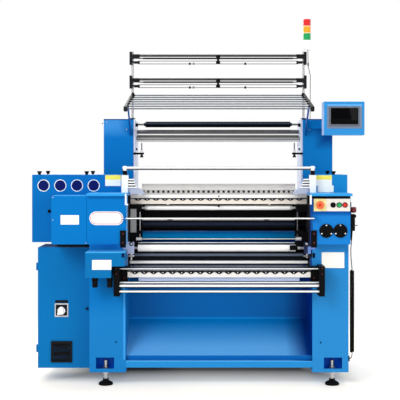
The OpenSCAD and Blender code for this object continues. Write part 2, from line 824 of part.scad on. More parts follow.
// Stepped housing beside and over the left frame, open on top
module drive_outline(inset) {
    polygon([[drive_left + inset, drive_bottom + inset], [-outer_x - inset, drive_bottom + inset],
        [-outer_x - inset, stage_top_z + inset], [extension_right - inset, stage_top_z + inset],
        [extension_right - inset, box_top - cover_wall], [drive_left + inset, box_top - cover_wall]]);
}
module drive_box() color(blue) difference() {
    along_y(drive_y, drive_d) drive_outline(0);
    along_y(drive_y + cover_wall, drive_d - 2 * cover_wall) translate([0, 0.01]) drive_outline(cover_wall);
    translate([drive_left + cover_wall, drive_y + cover_wall, box_top - cover_wall - 1])
        cube([extension_right - drive_left - 2 * cover_wall, drive_d - 2 * cover_wall, 5]);
}

// Lid with a rim that drops inside the housing
module drive_box_lid() color(blue) {
    in = cover_wall + gap;
    translate([drive_left, drive_y, box_top - cover_wall])
        cube([extension_right - drive_left, drive_d, cover_wall]);
    difference() {
        translate([drive_left + in, drive_y + in, box_top - cover_wall - 12])
            cube([extension_right - drive_left - 2 * in, drive_d - 2 * in, 12]);
        translate([drive_left + in + 2, drive_y + in + 2, box_top - cover_wall - 13])
            cube([extension_right - drive_left - 2 * in - 4, drive_d - 2 * in - 4, 14]);
    }
}

// Conical thumb knobs that hold the lids down
module thumb_knobs() color(dark) {
    places = [[drive_left + 40, drive_y + 20], [drive_left + 318, drive_y + 20],
        [drive_left + 41, drive_y + drive_d - 20], [drive_left + 319, drive_y + drive_d - 20],
        [upper_box_left + 111, drive_y + 20], [upper_box_left + 112, drive_y + drive_d - 20]];
    for (p = places) translate([p[0], p[1], box_top]) rotate_extrude($fn = 32)
        polygon([[0, 0], [knob_d * 0.28, 0], [knob_d * 0.3, knob_h * 0.25], [knob_d * 0.46, knob_h * 0.75],
            [knob_d * 0.5, knob_h * 0.85], [knob_d * 0.46, knob_h], [0, knob_h]]);
}

// Front covers of the left gearbox, in two folded shells, and the shelf over them
module left_cover() color(blue) {
    t = cover_wall;
    deep_w = seam_x - 1 - cover_left;
    difference() {
        translate([cover_left, -cover_d, cover_bottom]) cube([deep_w, drive_y + cover_d, cover_h]);
        translate([cover_left + t, -cover_d + t, cover_bottom + t])
            cube([deep_w - 2 * t, drive_y + cover_d, cover_h - 2 * t]);
    }
    difference() {
        translate([seam_x, -cover_d, cover_bottom]) cube([cover_right - seam_x, cover_d, cover_h]);
        translate([seam_x + t, -cover_d + t, cover_bottom + t])
            cube([cover_right - seam_x - 2 * t, cover_d, cover_h - 2 * t]);
    }
    translate([seam_x, -cover_d - shelf_lip, cover_top])
        cube([cover_right + 1 - seam_x, drive_y + cover_d + shelf_lip - gap, shelf_t]);
}

// Notched cover over the take-down gearbox on the left frame's front
module gear_outline(inset) {
    polygon([[-outer_x - 4 + inset, gear_top - gear_h + inset],
        [gear_notch_x - inset, gear_top - gear_h + inset], [gear_notch_x - inset, gear_notch_z + inset],
        [cover_right - 3 - inset, gear_notch_z + inset], [cover_right - 3 - inset, gear_top - inset],
        [-outer_x - 4 + inset, gear_top - inset]]);
}
module takedown_cover() color(light_blue) difference() {
    along_y(-gear_cover_d, gear_cover_d) gear_outline(0);
    along_y(-gear_cover_d + cover_wall, gear_cover_d) gear_outline(cover_wall);
}

// Two plugs under the take-down gearbox cover
module cable_plugs() color(dark) for (x = [-outer_x + 44, -outer_x + 127])
    translate([x, -gear_cover_d * 0.66, gear_top - gear_h - plug_h]) rotate_extrude($fn = 40)
        polygon([[0, 0], [plug_d * 0.4, 0], [plug_d * 0.44, 2], [plug_d * 0.44, plug_h * 0.55],
            [plug_d * 0.5, plug_h * 0.6], [plug_d * 0.5, plug_h], [0, plug_h]]);

// Main motor on the left frame's inner face, with fins, a fan cowl and a terminal box
module main_motor() color(steel) {
    x0 = -inner_x;
    rod_between(x0 + 12, x0 + 40, motor_d * 0.9, motor_y, motor_z);
    rod_between(x0 + 40, x0 + motor_len - 50, motor_d * 0.82, motor_y, motor_z);
    for (i = [0 : 23]) translate([x0 + 40, motor_y, motor_z]) rotate([i * 15, 0, 0])
        translate([0, motor_d * 0.4, -1.5]) cube([motor_len - 90, motor_d * 0.09, 3]);
    rod_between(x0 + motor_len - 50, x0 + motor_len, motor_d, motor_y, motor_z);
    translate([x0 + 60, motor_y - 45, motor_z + motor_d * 0.36]) cube([90, 90, 62]);
    difference() {
        rod_between(x0, x0 + 12, motor_d * 1.18, motor_y, motor_z);
        rod_between(x0 - 1, x0 + 11, motor_shaft_d + 14, motor_y, motor_z);
    }
}

// Flat pulley with a rim at each side
module pulley(d, y, z) {
    rod_between(pulley_x - pulley_w / 2, pulley_x + pulley_w / 2, d, y, z);
    for (x = [pulley_x - pulley_w / 2 - 1, pulley_x + pulley_w / 2 + 1])
        rod_between(x - 1, x + 1, d + 12, y, z);
}

// Motor shaft end and its pulley, inside the left frame
module motor_pulley() color(steel) {
    rod_between(pulley_x - pulley_w / 2, -inner_x + 10, motor_shaft_d, motor_y, motor_z);
    pulley(motor_pulley_d, motor_y, motor_z);
}

// Flat belt round both pulleys
module belt_loop(grow) hull() {
    translate([main_y, main_z]) circle(r = pulley_d / 2 + gap + grow, $fn = 72);
    translate([motor_y, motor_z]) circle(r = motor_pulley_d / 2 + gap + grow, $fn = 72);
}
module drive_belt() color(dark) along_x(pulley_x - pulley_w / 2 + 2, pulley_w - 4) difference() {
    belt_loop(belt_t);
    belt_loop(0);
}

// Main shaft across the machine, with its pulley and the two needle eccentrics
module main_shaft() color(steel) {
    rod_between(pulley_x - pulley_w / 2, inner_x - 0.5, shaft_d, main_y, main_z);
    pulley(pulley_d, main_y, main_z);
    for (s = [-1, 1]) rod_between(s * bar_rod_x - eccentric_t / 2, s * bar_rod_x + eccentric_t / 2,
        eccentric_d, main_y - eccentric_offset, main_z);
}

// Black box beam with a ledge for the comb and bushes for the needle bar's rods
module bed_beam() color(dark) difference() {
    along_x(-plate_x, 2 * plate_x) difference() {
        union() {
            translate([bed_y, bed_top - bed_h]) square([bed_d, bed_h]);
            translate([comb_front_y + 2, bed_top - 10]) square([60, 10]);
        }
        translate([bed_y + 8, bed_top - bed_h + 8]) square([bed_d - 16, bed_h - 16]);
    }
    for (s = [-1, 1]) translate([s * bar_rod_x, bed_y - 1, bar_rod_z]) rotate([-90, 0, 0])
        cylinder(h = bed_d + 2, d = bar_rod_d + 2 * fit, $fn = 48);
}

// Needle bed: stepped bar, a row of square windows, and the fine comb on its slope
module needle_bed() color(cream) {
    half = comb_len / 2;
    windows = floor((comb_len - 20) / slot_pitch / 2);
    teeth = floor(comb_len / comb_pitch / 2) - 1;
    along_x(-half, comb_len) polygon([[comb_front_y, bed_top + 0.4], [bed_y - 2, bed_top + 0.4],
        [bed_y - 2, comb_z + comb_run], [comb_y + comb_run, comb_z + comb_run], [comb_y, comb_z],
        [comb_y, stage_top_z - 2], [comb_front_y, stage_top_z - 2]]);
    along_y(comb_y - 8, 8.5) difference() {
        translate([-half, stage_top_z - 2]) square([comb_len, comb_z - stage_top_z + 2]);
        for (i = [-windows : windows])
            translate([i * slot_pitch - slot_size / 2, slot_z - slot_size / 2]) square(slot_size);
    }
    translate([0, comb_y, comb_z]) rotate([45, 0, 0]) translate([0, 0, -0.5]) linear_extrude(5) union() {
        translate([-half, 0]) square([comb_len, comb_face * 0.2]);
        for (i = [-teeth : teeth]) translate([i * comb_pitch - comb_pitch * 0.28, 0])
            square([comb_pitch * 0.56, comb_face]);
    }
    translate([-half, bed_y - 14, comb_z + comb_run - 1]) cube([comb_len, 12, 11]);
}

// Needle bar with its two guide rods
module needle_bar() color(cream) {
    translate([-plate_x + 3, bar_y, bar_top - bar_h]) cube([2 * plate_x - 6, bar_t, bar_h]);
    for (s = [-1, 1]) translate([s * bar_rod_x, bar_y + 2, bar_rod_z]) rotate([-90, 0, 0])
        cylinder(h = bed_y + bed_d + 40 - bar_y, d = bar_rod_d, $fn = 48);
}

// Lobed clamp plate on the needle bar's face and the pointer under its middle
module needle_clamps() color(dark) {
    translate([0, 0, clamp_top]) along_y(bar_y - clamp_t, clamp_t)
        lobed_outline(plate_x - 4, upper_clamp_h, 4.4);
    translate([-6, bar_y + 2, bar_top - bar_h - 18]) cube([12, 6, 18]);
}

// Guide bar: a tube with end collars on long journals
module guide_bar() color(bright) {
    rod_x(guide_bar_len - 30, guide_bar_d, guide_bar_y, guide_bar_z);
    rod_x(guide_bar_len, guide_bar_d - 3, guide_bar_y, guide_bar_z);
    for (s = [-1, 1]) rod_between(s * (guide_bar_len / 2 - 7) - 7, s * (guide_bar_len / 2 - 7) + 7,
        guide_bar_d, guide_bar_y, guide_bar_z);
    rod_x(2 * plate_x - 24, guide_bar_journal, guide_bar_y, guide_bar_z);
}

// Lift rod with an end clamp and a spindle over each guide block
module lift_rod() color(chrome) {
    rod_x(2 * block_x + 28, lift_d, lift_y, lift_z);
    both_sides() {
        translate([block_x - 10, lift_y - 13, lift_z - lift_d / 2 - 3])
            cube([20, 26, lift_d + 6]);
        translate([block_x, lift_y, lift_z - spindle_reach]) cylinder(h = spindle_reach, d = spindle_d,
            $fn = 32);
    }
}

// Guide blocks, and the short bars that carry the weft holders
module guide_blocks() color(bright) both_sides() {
    difference() {
        translate([block_x - block_w / 2, lift_y - 19, shelf_top]) cube([block_w, 38, block_h]);
        translate([block_x, lift_y, shelf_top + 10]) cylinder(h = block_h, d = spindle_d + 2 * fit,
            $fn = 32);
    }
    for (i = [0 : stubs - 1]) translate([block_x - block_w / 2 - stub_len + i * stub_step, lift_y - 12,
        shelf_top + stub_foot + i * stub_rise]) cube([stub_len - i * stub_step, 24, stub_h]);
    translate([0, 0, shelf_top - 10]) along_y(lift_y - 2, 70) polygon([[weft_x - 26, 0],
        [shelf_end - 1, 0], [shelf_end - 1, 10 + gap], [block_x - block_w / 2, 10 + gap],
        [block_x - block_w / 2, 34], [weft_x, 34], [weft_x - 26, 8]]);
}

// Holder of the collared rod on the side plate, with a clamp round the push rod
module rod_holder() difference() {
    union() {
        translate([nylon_x + nylon_w / 2 + gap, nylon_y - 20, cover_bottom])
            cube([plate_x - nylon_x - nylon_w / 2 - gap, 40, holder_top - cover_bottom]);
        translate([push_rod_x - 9, nylon_y - 10, holder_top - 10])
            cube([plate_x - push_rod_x - 12, 20, 20]);
        translate([push_rod_x - 9, nylon_y - 10, holder_top - 10]) cube([18, 20, 20]);
    }
    rod_between(nylon_x, plate_x + 1, nylon_rod_d + 2 * fit, nylon_y, nylon_z);
    translate([push_rod_x, nylon_y, holder_top - 11]) cylinder(h = 22, d = push_rod_d + 2 * fit, $fn = 24);
}

// Black cap on a guide block, bored for its spindle, and the dark spacers between the block's stub bars
module block_cap() {
    difference() {
        translate([block_x - cap_w / 2, lift_y - cap_w / 2, shelf_top + block_h])
            cube([cap_w, cap_w, cap_h]);
        translate([block_x, lift_y, shelf_top + block_h - 1])
            cylinder(h = cap_h + 2, d = spindle_d + 2 * fit, $fn = 32);
    }
    for (i = [0 : stubs - 2]) translate([block_x - block_w / 2 - stub_len + 8 + i * stub_step,
        lift_y - 10, shelf_top + stub_foot + stub_h + i * stub_rise])
        cube([stub_len - 8 - i * stub_step, 20, stub_rise - stub_h]);
}

// Black end brackets: guide bar ends, rod holders, caps, start rod eyes, tension arms, slide strips, stop
// blocks and the front guide unit's brackets
module end_brackets() color(dark) {
    both_sides() {
        difference() {
            translate([end_block_x, bed_y - end_block_d, guide_bar_z - end_block_h / 2])
                cube([plate_x - end_block_x, end_block_d, end_block_h]);
            rod_between(end_block_x - 1, plate_x + 1, guide_bar_journal + 2 * fit, guide_bar_y,
                guide_bar_z);
        }
        translate([end_block_x, hanger_y, cover_bottom])
            cube([plate_x - end_block_x, bed_y - gap - hanger_y,
                guide_bar_z - end_block_h / 2 - cover_bottom]);
        rod_holder();
        block_cap();
        translate([plate_x - 13, 22, stage_top_z - 46]) cube([13, 40, 44]);
        difference() {
            union() {
                translate([inner_x + bracket_in, -bracket_d, bracket_top - bracket_h])
                    cube([bracket_out - bracket_in, bracket_d, bracket_h]);
                translate([inner_x - bracket_in + 11, -bracket_block_d, bracket_top - 8 - bracket_block_h])
                    cube([2 * bracket_in - 11, bracket_block_d, bracket_block_h]);
            }
            rod_between(inner_x + bracket_in - 1, inner_x + bracket_in + 12, front_rod_d + 2 * fit,
                front_rod_y, front_rod_z);
            for (r = low_rods) rod_between(inner_x + bracket_in - 1, inner_x + bracket_in + 12,
                r[2] + 2 * fit, r[0], r[1]);
            translate([inner_x, -bracket_d - 1, bracket_top - bracket_h - 1])
                cube([bracket_out + 1, 9, 22]);
        }
        translate([plate_x - 54, feed_y - 68, arm_z - 6]) cube([54, 16, 12]);
        translate([plate_x - 40, feed_y - 60, arm_z - 22]) cylinder(h = 89, d = 8, $fn = 24);
        translate([plate_x - 40, feed_y - 60, arm_z + 6]) cylinder(h = 14, d = 22, $fn = 32);
        translate([plate_x, feed_y - 50, rubber_z - 6]) rotate([0, -90, 0])
            cylinder(h = 16, d = 21, $fn = 32);
    }
    for (x = [-inner_x - 25, inner_x - 16])
        translate([x, -cover_d - strip_t, strip_top - strip_h]) cube([33, strip_t, strip_h]);
    for (x = [-inner_x - 4, inner_x + 2]) difference() {
        translate([x, start_y - 8, start_z - 12]) cube([eye_t, -cover_d - start_y + 8, 24]);
        rod_between(x - 1, x + eye_t + 1, start_d + 2 * fit, start_y, start_z);
    }
}

// Start rod across the machine's front
module start_rod() color(chrome) rod_x(2 * start_half, start_d, start_y, start_z);

// Rollers that lead the cloth down
module cloth_roller() color(dark) roller(2 * (inner_x - cloth_end), cloth_d, cloth_journal, cloth_y,
    cloth_z);
module white_roller() color(bright) {
    roller(2 * (inner_x - white_end), white_d, white_journal, takedown_y, white_z);
    rod_between(-inner_x + white_end_left, -inner_x + white_end + 1, white_d, takedown_y, white_z);
}
module grip_roller() color(dark) roller(2 * (inner_x - grip_end), grip_d, grip_journal, takedown_y, grip_z);
module press_roller() color(chrome) roller(2 * (inner_x - chrome_end), press_d, press_journal,
    takedown_y, press_z);
module spreader_roller() color(steel) roller(2 * (inner_x - spread_end), spread_d, spread_journal,
    takedown_y, spread_z);

// Fixed bright rods: two with nylon collars behind, and four in the front unit
module guide_rods() color(chrome) {
    for (z = [nylon_z, second_rod_z]) rod_x(2 * plate_x, nylon_rod_d, nylon_y, z);
    both_sides() {
        rod_between(nylon_x - nylon_w / 2, nylon_x + nylon_w / 2, nylon_d, nylon_y, nylon_z);
    }
    reach = 2 * (inner_x + bracket_in + 11);
    rod_x(reach, front_rod_d, front_rod_y, front_rod_z);
    for (r = low_rods) rod_x(reach, r[2], r[0], r[1]);
}

// Bar of the front guide unit, with a lower lip set back behind it
module lower_bar() color(cream) {
    z1 = lower_bar_top - lower_bar_h;
    along_x(-lower_len / 2, lower_len) polygon([[lower_bar_y, lower_bar_top], [lower_bar_y, z1],
        [lower_bar_y + lower_bar_t, z1], [lower_bar_y + lower_bar_t, lower_bar_top]]);
    along_x(-lip_len / 2, lip_len) polygon([[lower_bar_y + lower_bar_t - 1, z1 + 8],
        [lower_bar_y + lower_bar_t - 1, z1 + 2],
        [lower_bar_y + lower_lip_set, z1 + 2], [lower_bar_y + lower_lip_set, z1 - lower_lip_h],
        [lower_bar_y + lower_lip_set + 6, z1 - lower_lip_h], [lower_bar_y + lower_lip_set + 6, z1 + 8]]);
}

// Lobed clamp plate on the lower bar's face
module lower_clamps() color(dark) translate([0, 0, lower_bar_top])
    along_y(lower_bar_y - clamp_t, clamp_t) lobed_outline(lower_len / 2 - 1, lower_clamp_h, 5.7);

// Feed rollers between the columns
module rubber_roller() color(dark) {
    roller(rubber_len, rubber_d, feed_journal, feed_y, rubber_z);
    rod_x(rubber_len + 20, feed_journal + 10, feed_y, rubber_z);
}
module upper_feed_roller() color(chrome)
    roller(2 * (inner_x - chrome_end), upper_feed_d, feed_journal, feed_y, upper_feed_z);
module lower_feed_roller() color(chrome)
    roller(2 * (inner_x - chrome_end), lower_feed_d, feed_journal, feed_y, lower_feed_z);

// Control box on the right frame's front, open at its back, with the shelf over it
module control_box() color(blue) {
    t = cover_wall;
    face = -cover_d;
    difference() {
        translate([control_left, face, control_bottom])
            cube([control_right - control_left, cover_d, stage_top_z - control_bottom]);
        translate([control_left + t, face + t, control_bottom + t])
            cube([control_right - control_left - 2 * t, cover_d, stage_top_z - control_bottom - 2 * t]);
        for (x = button_xs) translate([x, face - 1, button_z]) rotate([-90, 0, 0])
            cylinder(h = t + 2, d = button_d + 1, $fn = 40);
        translate([stop_x, face - 1, button_z]) rotate([-90, 0, 0])
            cylinder(h = t + 2, d = stem_d + 1, $fn = 40);
    }
    translate([shelf_end, face - shelf_lip, stage_top_z])
        cube([control_right + 8 - shelf_end, drive_y + cover_d + shelf_lip - gap, shelf_t]);
}

// Cover over the right frame's stage, open underneath
module right_upper_box() color(blue) difference() {
    translate([upper_box_left, drive_y, stage_top_z]) cube([upper_box_w, drive_d, box_rise]);
    translate([upper_box_left + cover_wall, drive_y + cover_wall, stage_top_z - 1])
        cube([upper_box_w - 2 * cover_wall, drive_d - 2 * cover_wall, box_rise + 1 - cover_wall]);
}

// Button panel with a raised ring round each button
module panel_plate() color(cream) {
    face = -cover_d - panel_t;
    difference() {
        union() {
            translate([inner_x + 0.5, face, panel_top - panel_h])
                cube([control_right - inner_x - 3, panel_t, panel_h]);
            for (x = button_xs) translate([x, face - ring_t, button_z]) rotate([-90, 0, 0])
                cylinder(h = ring_t + 1, d = ring_d, $fn = 48);
            translate([stop_x, face - ring_t * 2, button_z]) rotate([-90, 0, 0])
                cylinder(h = ring_t * 2 + 1, d = 30, $fn = 48);
        }
        for (x = button_xs) translate([x, face - 10, button_z]) rotate([-90, 0, 0])
            cylinder(h = 20, d = button_d + gap, $fn = 48);
        translate([stop_x, face - 10, button_z]) rotate([-90, 0, 0])
            cylinder(h = 20, d = stem_d + gap, $fn = 48);
    }
}

// Stop mushroom on its stem
module stop_button() color([0.8, 0.1, 0.08]) {
    face = -cover_d - panel_t - ring_t * 2;
    translate([stop_x, face - stop_travel - 1 - 16, button_z]) rotate([-90, 0, 0]) rotate_extrude($fn = 64)
        polygon([[0, 0], [mushroom_d * 0.3, 0.8], [mushroom_d * 0.42, 3], [mushroom_d * 0.49, 7],
            [mushroom_d / 2, 11], [mushroom_d * 0.46, 16], [stem_d / 2, 16], [stem_d / 2, 40], [0, 40]]);
}

// Push buttons, each a cap on a stem that slides in its ring
module push_button(i) {
    face = -cover_d - panel_t - ring_t;
    translate([button_xs[i], face - button_travel - 1, button_z]) rotate([-90, 0, 0])
        rotate_extrude($fn = 48) polygon([[0, 0], [button_d / 2 - 2, 0], [button_d / 2, 1.5],
            [button_d / 2, 16], [5, 16], [5, 26], [0, 26]]);
}
module black_button() color(dark) push_button(0);
module green_button() color([0.1, 0.55, 0.25]) push_button(1);
module red_button() color([0.8, 0.1, 0.1]) push_button(2);

// Round bearing covers on the control box, and the isolator housing on its side
module box_fittings() color(dark) {
    for (x = disc_xs) translate([x, -cover_d - disc_t, disc_z]) rotate([-90, 0, 0]) rotate_extrude($fn = 72)
        polygon([[0, 2], [disc_d * 0.16, 2], [disc_d * 0.18, 0], [disc_d * 0.46, 0], [disc_d / 2, 2],
            [disc_d / 2, disc_t], [0, disc_t]]);
    translate([outer_x, isolator_y - isolator_d / 2, isolator_z]) difference() {
        cube([isolator_w, isolator_d, isolator_h]);
        translate([isolator_w - 2, 6, 8]) cube([4, isolator_d - 12, isolator_h - 16]);
    }
    translate([outer_x, isolator_y - isolator_d * 0.4, isolator_z + isolator_h]) difference() {
        cube([8, isolator_d * 0.8, isolator_plate_h]);
        translate([-1, isolator_d * 0.4, isolator_knob_z - isolator_z - isolator_h]) rotate([0, 90, 0])
            cylinder(h = 10, d = isolator_stem_d + 2 * fit, $fn = 32);
    }
    translate([outer_x + isolator_w - 3, isolator_y - 8, isolator_z + isolator_h - 20]) cube([12, 16, 16]);
    rod_between(outer_x + isolator_w - 3, outer_x + isolator_w + 19, 4, isolator_y, isolator_z + 30);
    translate([relief_x, isolator_y, relief_foot]) cylinder(h = isolator_z - relief_foot,
        d1 = cord_d + 3, d2 = 16, $fn = 32);
    translate([outer_x, curl_y - 14, 141]) difference() {
        cube([6, 28, 28]);
        translate([-1, 14, 14]) rotate([0, 90, 0]) cylinder(h = 8, d = cord_d + 2 * gap, $fn = 24);
    }
}

// Fluted turning knob of the isolator
module isolator_knob() color([0.4, 0.07, 0.07]) translate([outer_x + 8 + gap, isolator_y, isolator_knob_z])
    rotate([0, 90, 0]) {
        difference() {
            rotate_extrude($fn = 64) polygon([[0, 0], [isolator_knob_d * 0.38, 0], [isolator_knob_d / 2, 8],
                [isolator_knob_d / 2, 22], [isolator_knob_d * 0.42, 29], [0, 30]]);
            for (i = [0 : 7]) rotate([0, 0, i * 45]) translate([isolator_knob_d * 0.54, 0, 6])
                cylinder(h = 30, r = 3, $fn = 20);
        }
        translate([0, 0, -7]) cylinder(h = 8, d = isolator_stem_d, $fn = 32);
    }

// Square arm on the right column that turns forward and ends in a swivel eye
module screen_arm() color(blue) {
    w = beam_wall;
    post_y = column_y - arm_w;
    difference() {
        union() {
            translate([arm_start_x, post_y, arm_z_low]) cube([screen_mid_x + arm_w / 2 - arm_start_x,
                arm_w, arm_w]);
            translate([screen_mid_x - arm_w / 2, swivel_y + swivel_r - 4, arm_z_low])
                cube([arm_w, post_y + 10 - swivel_y - swivel_r + 4, arm_w]);
            translate([screen_mid_x, swivel_y, arm_z_low]) cylinder(h = arm_w / 2, r = swivel_r, $fn = 48);
        }
        translate([arm_start_x + w, post_y + w, arm_z_low + w])
            cube([screen_mid_x + arm_w / 2 - arm_start_x - 2 * w, arm_w - 2 * w, arm_w - 2 * w]);
        translate([screen_mid_x - arm_w / 2 + w, swivel_y + swivel_r + w, arm_z_low + w])
            cube([arm_w - 2 * w, post_y - swivel_y - swivel_r, arm_w - 2 * w]);
        translate([screen_mid_x, swivel_y, arm_z_low - 1])
            cylinder(h = arm_w, r = swivel_pin_r + fit, $fn = 48);
        translate([screen_mid_x, swivel_y, arm_z_low + arm_w / 2])
            cylinder(h = arm_w, r = swivel_r + 8, $fn = 48);
    }
}

// Screen housing with a window in its face and a swivel eye and pin on its back
module screen_box() color(blue) {
    z0 = screen_mid_z - screen_h / 2;
    eye_z = arm_z_low + arm_w / 2 + gap;
    difference() {
        translate([screen_left, 0, z0]) cube([screen_w, screen_d, screen_h]);
        translate([screen_left + 8, 4, z0 + 8]) cube([screen_w - 16, screen_d - 8, screen_h - 16]);
        translate([screen_left + 30, -1, z0 + 50]) cube([screen_w - 60, 6, screen_h - 78]);
    }
    difference() {
        translate([screen_left + 19, -3, z0 + 38]) cube([screen_w - 34, 3, screen_h - 53]);
        translate([screen_left + 30, -4, z0 + 50]) cube([screen_w - 60, 8, screen_h - 78]);
    }
    translate([screen_mid_x, swivel_y, eye_z]) cylinder(h = arm_w / 2 - gap, r = swivel_r - 2, $fn = 48);
    translate([screen_mid_x - 12, screen_d - 1, eye_z]) cube([24, swivel_y - screen_d, arm_w / 2 - gap]);
    translate([screen_mid_x, swivel_y, arm_z_low]) cylinder(h = arm_w, r = swivel_pin_r, $fn = 48);
}

// Screen with its grey bezel, set in the housing's window
module screen_panel() color([0.35, 0.36, 0.4]) {
    z0 = screen_mid_z - screen_h / 2;
    difference() {
        translate([screen_left + 30 + gap, -5, z0 + 50 + gap])
            cube([screen_w - 60 - 2 * gap, 24, screen_h - 78 - 2 * gap]);
        translate([screen_left + 42, -6, z0 + 61]) cube([screen_w - 84, 3, screen_h - 100]);
    }
}

// Yarn stand: uprights, two sets of rails, and their black end brackets and middle clips
module yarn_stand() color(steel) {
    both_sides() {
        translate([upright_x, upright_y, column_top_z]) cylinder(h = upright_h, d = upright_d, $fn = 32);
        translate([upright_x, upright_y, column_top_z]) cylinder(h = 6, d = upright_d + 22, $fn = 32);
    }
    for (drop = [0, rail_step]) {
        z = rail_z - drop;
        rod_x(2 * upright_x, rail_d, rail_y, z);
        rod_x(2 * (inner_x - 62), black_rail_d, rail_y - 4, z - 17.8);
        for (d = [34, 52]) rod_x(2 * (inner_x - 30), wire_d, rail_y, z - d);
        both_sides() {
            translate([upright_x + 4, rail_y - 9, z - 57]) cube([14, 30, 81]);
            translate([inner_x - 40, rail_y - 9, z - 20]) cube([64, 10, drop == 0 ? 28 : 13]);
            translate([inner_x - 40, rail_y - 7, z - 51]) cube([36, 10, 16]);
            translate([inner_x - 10, rail_y - 7, z - 44]) cube([20, 10, 8]);
            translate([inner_x + 4, rail_y - 7, z - 44]) cube([10, 10, 26]);
            translate([inner_x - 70, rail_y - 4, z - 17.8]) rotate([0, 90, 0])
                cylinder(h = 34, d = 7, $fn = 24);
        }
        translate([-8, rail_y - 12, z - 54]) cube([16, 8, 58]);
        for (x = [-160, 165]) translate([x, rail_y - 5, z - 58]) cube([12, 8, 14]);
    }
    for (i = [0 : len(tower_wire) - 2]) bar_between(tower_wire[i], tower_wire[i + 1], tower_wire_d);
    for (i = [1 : len(tower_wire) - 2]) translate(tower_wire[i]) sphere(d = tower_wire_d + 1, $fn = 24);
    translate([tower_wire[1][0], tower_wire[1][1], tower_wire[1][2] - 2]) cylinder(h = 22, d = 9, $fn = 24);
}

// Sloping rack of round rods between two flat side bars, with a block at each corner
module rod_rack() color(steel) translate([0, rack_far_y, rack_far_z]) rotate([rack_angle, 0, 0]) {
    half = upright_x - rack_bar_t / 2;
    first = 14;
    for (i = [0 : rack_rods - 1])
        rod_x(2 * half + 2, rack_rod_d, -first - i * (rack_len - 2 * first) / (rack_rods - 1), 0);
    both_sides() {
        translate([half, -rack_len, -rack_bar_h / 2]) cube([rack_bar_t, rack_len, rack_bar_h]);
        for (y = [-rack_len, -30]) translate([half - 8, y, -rack_bar_h / 2 - 3])
            cube([rack_bar_t + 4, 24, rack_bar_h + 6]);
    }
}

// Tower base on its shelf at the right upright's top
module tower_base() color([0.9, 0.9, 0.9]) {
    translate([upright_x - upright_d / 2, upright_y - 12, upright_top])
        cube([upright_d, 24, tower_rise + tower_shelf_t]);
    translate([upright_x - upright_d / 2, upright_y - 25, upright_top + tower_rise])
        cube([tower_x - upright_x + upright_d / 2 + 28, 50, tower_shelf_t]);
    translate([tower_x, upright_y, tower_foot]) rotate_extrude($fn = 64)
        polygon([[0, 0], [tower_d * 0.5, 0], [tower_d * 0.5, 4], [tower_d * 0.44, 8],
            [tower_d * 0.46, tower_base_h], [0, tower_base_h]]);
}

// Three ribbed lenses, red over amber over green
module tower_lenses() {
    shades = [[0.1, 0.65, 0.35], [0.95, 0.65, 0.1], [0.8, 0.08, 0.08]];
    for (i = [0 : 2])
        color(shades[i]) translate([tower_x, upright_y, tower_foot + tower_base_h + i * lens_h])
            rotate_extrude($fn = 64) polygon(concat([[0, 0]], [for (k = [0 : 7])
                [tower_d / 2 - (k % 2 == 0 ? 0 : 1.5), k * (lens_h - 2) / 7]],
                [[tower_d * 0.46, lens_h], [0, lens_h]]));
}

// The cord's two straight stretches, and the outer shape of its curls
module side_cable() color(dark) {
    cord_tube(upper_route, cord_d / 2);
    cord_tube(lower_route, cord_d / 2);
}
module cable_coil() color(dark) translate([curl_x, curl_y, curl_bottom])
    cylinder(h = curl_top - curl_bottom, d = curl_d, $fn = 48);

placed() left_frame();
placed() right_frame();
placed() side_plates();
placed() cross_members();
placed() tray();
placed() foot_pads();
placed() foot_bolts();
placed() cabinet();
placed() cabinet_door();
placed() door_fittings();
placed() switch_handle();
placed() control_gear();
placed() drive_box();
placed() drive_box_lid();
placed() thumb_knobs();
placed() left_cover();
placed() takedown_cover();
placed() cable_plugs();
placed() main_motor();
placed() motor_pulley();
placed() drive_belt();
placed() main_shaft();
placed() bed_beam();
placed() needle_bed();
placed() needle_bar();
placed() needle_clamps();
placed() guide_bar();
placed() lift_rod();
placed() guide_blocks();
placed() end_brackets();
placed() start_rod();
placed() cloth_roller();
placed() white_roller();
placed() grip_roller();
placed() press_roller();
placed() spreader_roller();
placed() guide_rods();
placed() lower_bar();
placed() lower_clamps();
placed() rubber_roller();
placed() upper_feed_roller();
placed() lower_feed_roller();
placed() control_box();
placed() right_upper_box();
placed() panel_plate();
placed() stop_button();
placed() black_button();
placed() green_button();
placed() red_button();
placed() box_fittings();
placed() isolator_knob();
placed() screen_arm();
placed() screen_box();
placed() screen_panel();
placed() yarn_stand();
placed() rod_rack();
placed() tower_base();
placed() tower_lenses();
placed() side_cable();
placed() cable_coil();
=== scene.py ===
# Finishes, fittings and small parts of the warp crochet knitting machine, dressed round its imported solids.
import math

import bmesh
import bpy
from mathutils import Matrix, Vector


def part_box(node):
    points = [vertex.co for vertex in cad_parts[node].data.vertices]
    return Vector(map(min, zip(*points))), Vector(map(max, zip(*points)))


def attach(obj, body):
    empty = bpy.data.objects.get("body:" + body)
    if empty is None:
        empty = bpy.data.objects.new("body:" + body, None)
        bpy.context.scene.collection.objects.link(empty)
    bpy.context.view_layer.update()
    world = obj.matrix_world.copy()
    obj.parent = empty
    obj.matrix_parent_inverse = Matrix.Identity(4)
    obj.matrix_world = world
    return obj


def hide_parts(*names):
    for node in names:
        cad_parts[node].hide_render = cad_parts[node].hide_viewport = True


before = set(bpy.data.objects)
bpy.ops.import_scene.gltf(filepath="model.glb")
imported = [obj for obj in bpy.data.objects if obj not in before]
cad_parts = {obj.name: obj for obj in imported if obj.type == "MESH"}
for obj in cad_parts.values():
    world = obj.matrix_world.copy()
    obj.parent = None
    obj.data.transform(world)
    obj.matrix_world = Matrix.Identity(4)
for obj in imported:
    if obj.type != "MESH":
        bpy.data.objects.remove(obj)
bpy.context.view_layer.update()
bpy.ops.object.select_all(action="DESELECT")

bpy.context.scene.view_settings.view_transform = "Standard"

MM = 0.001
MACHINE = "machine"


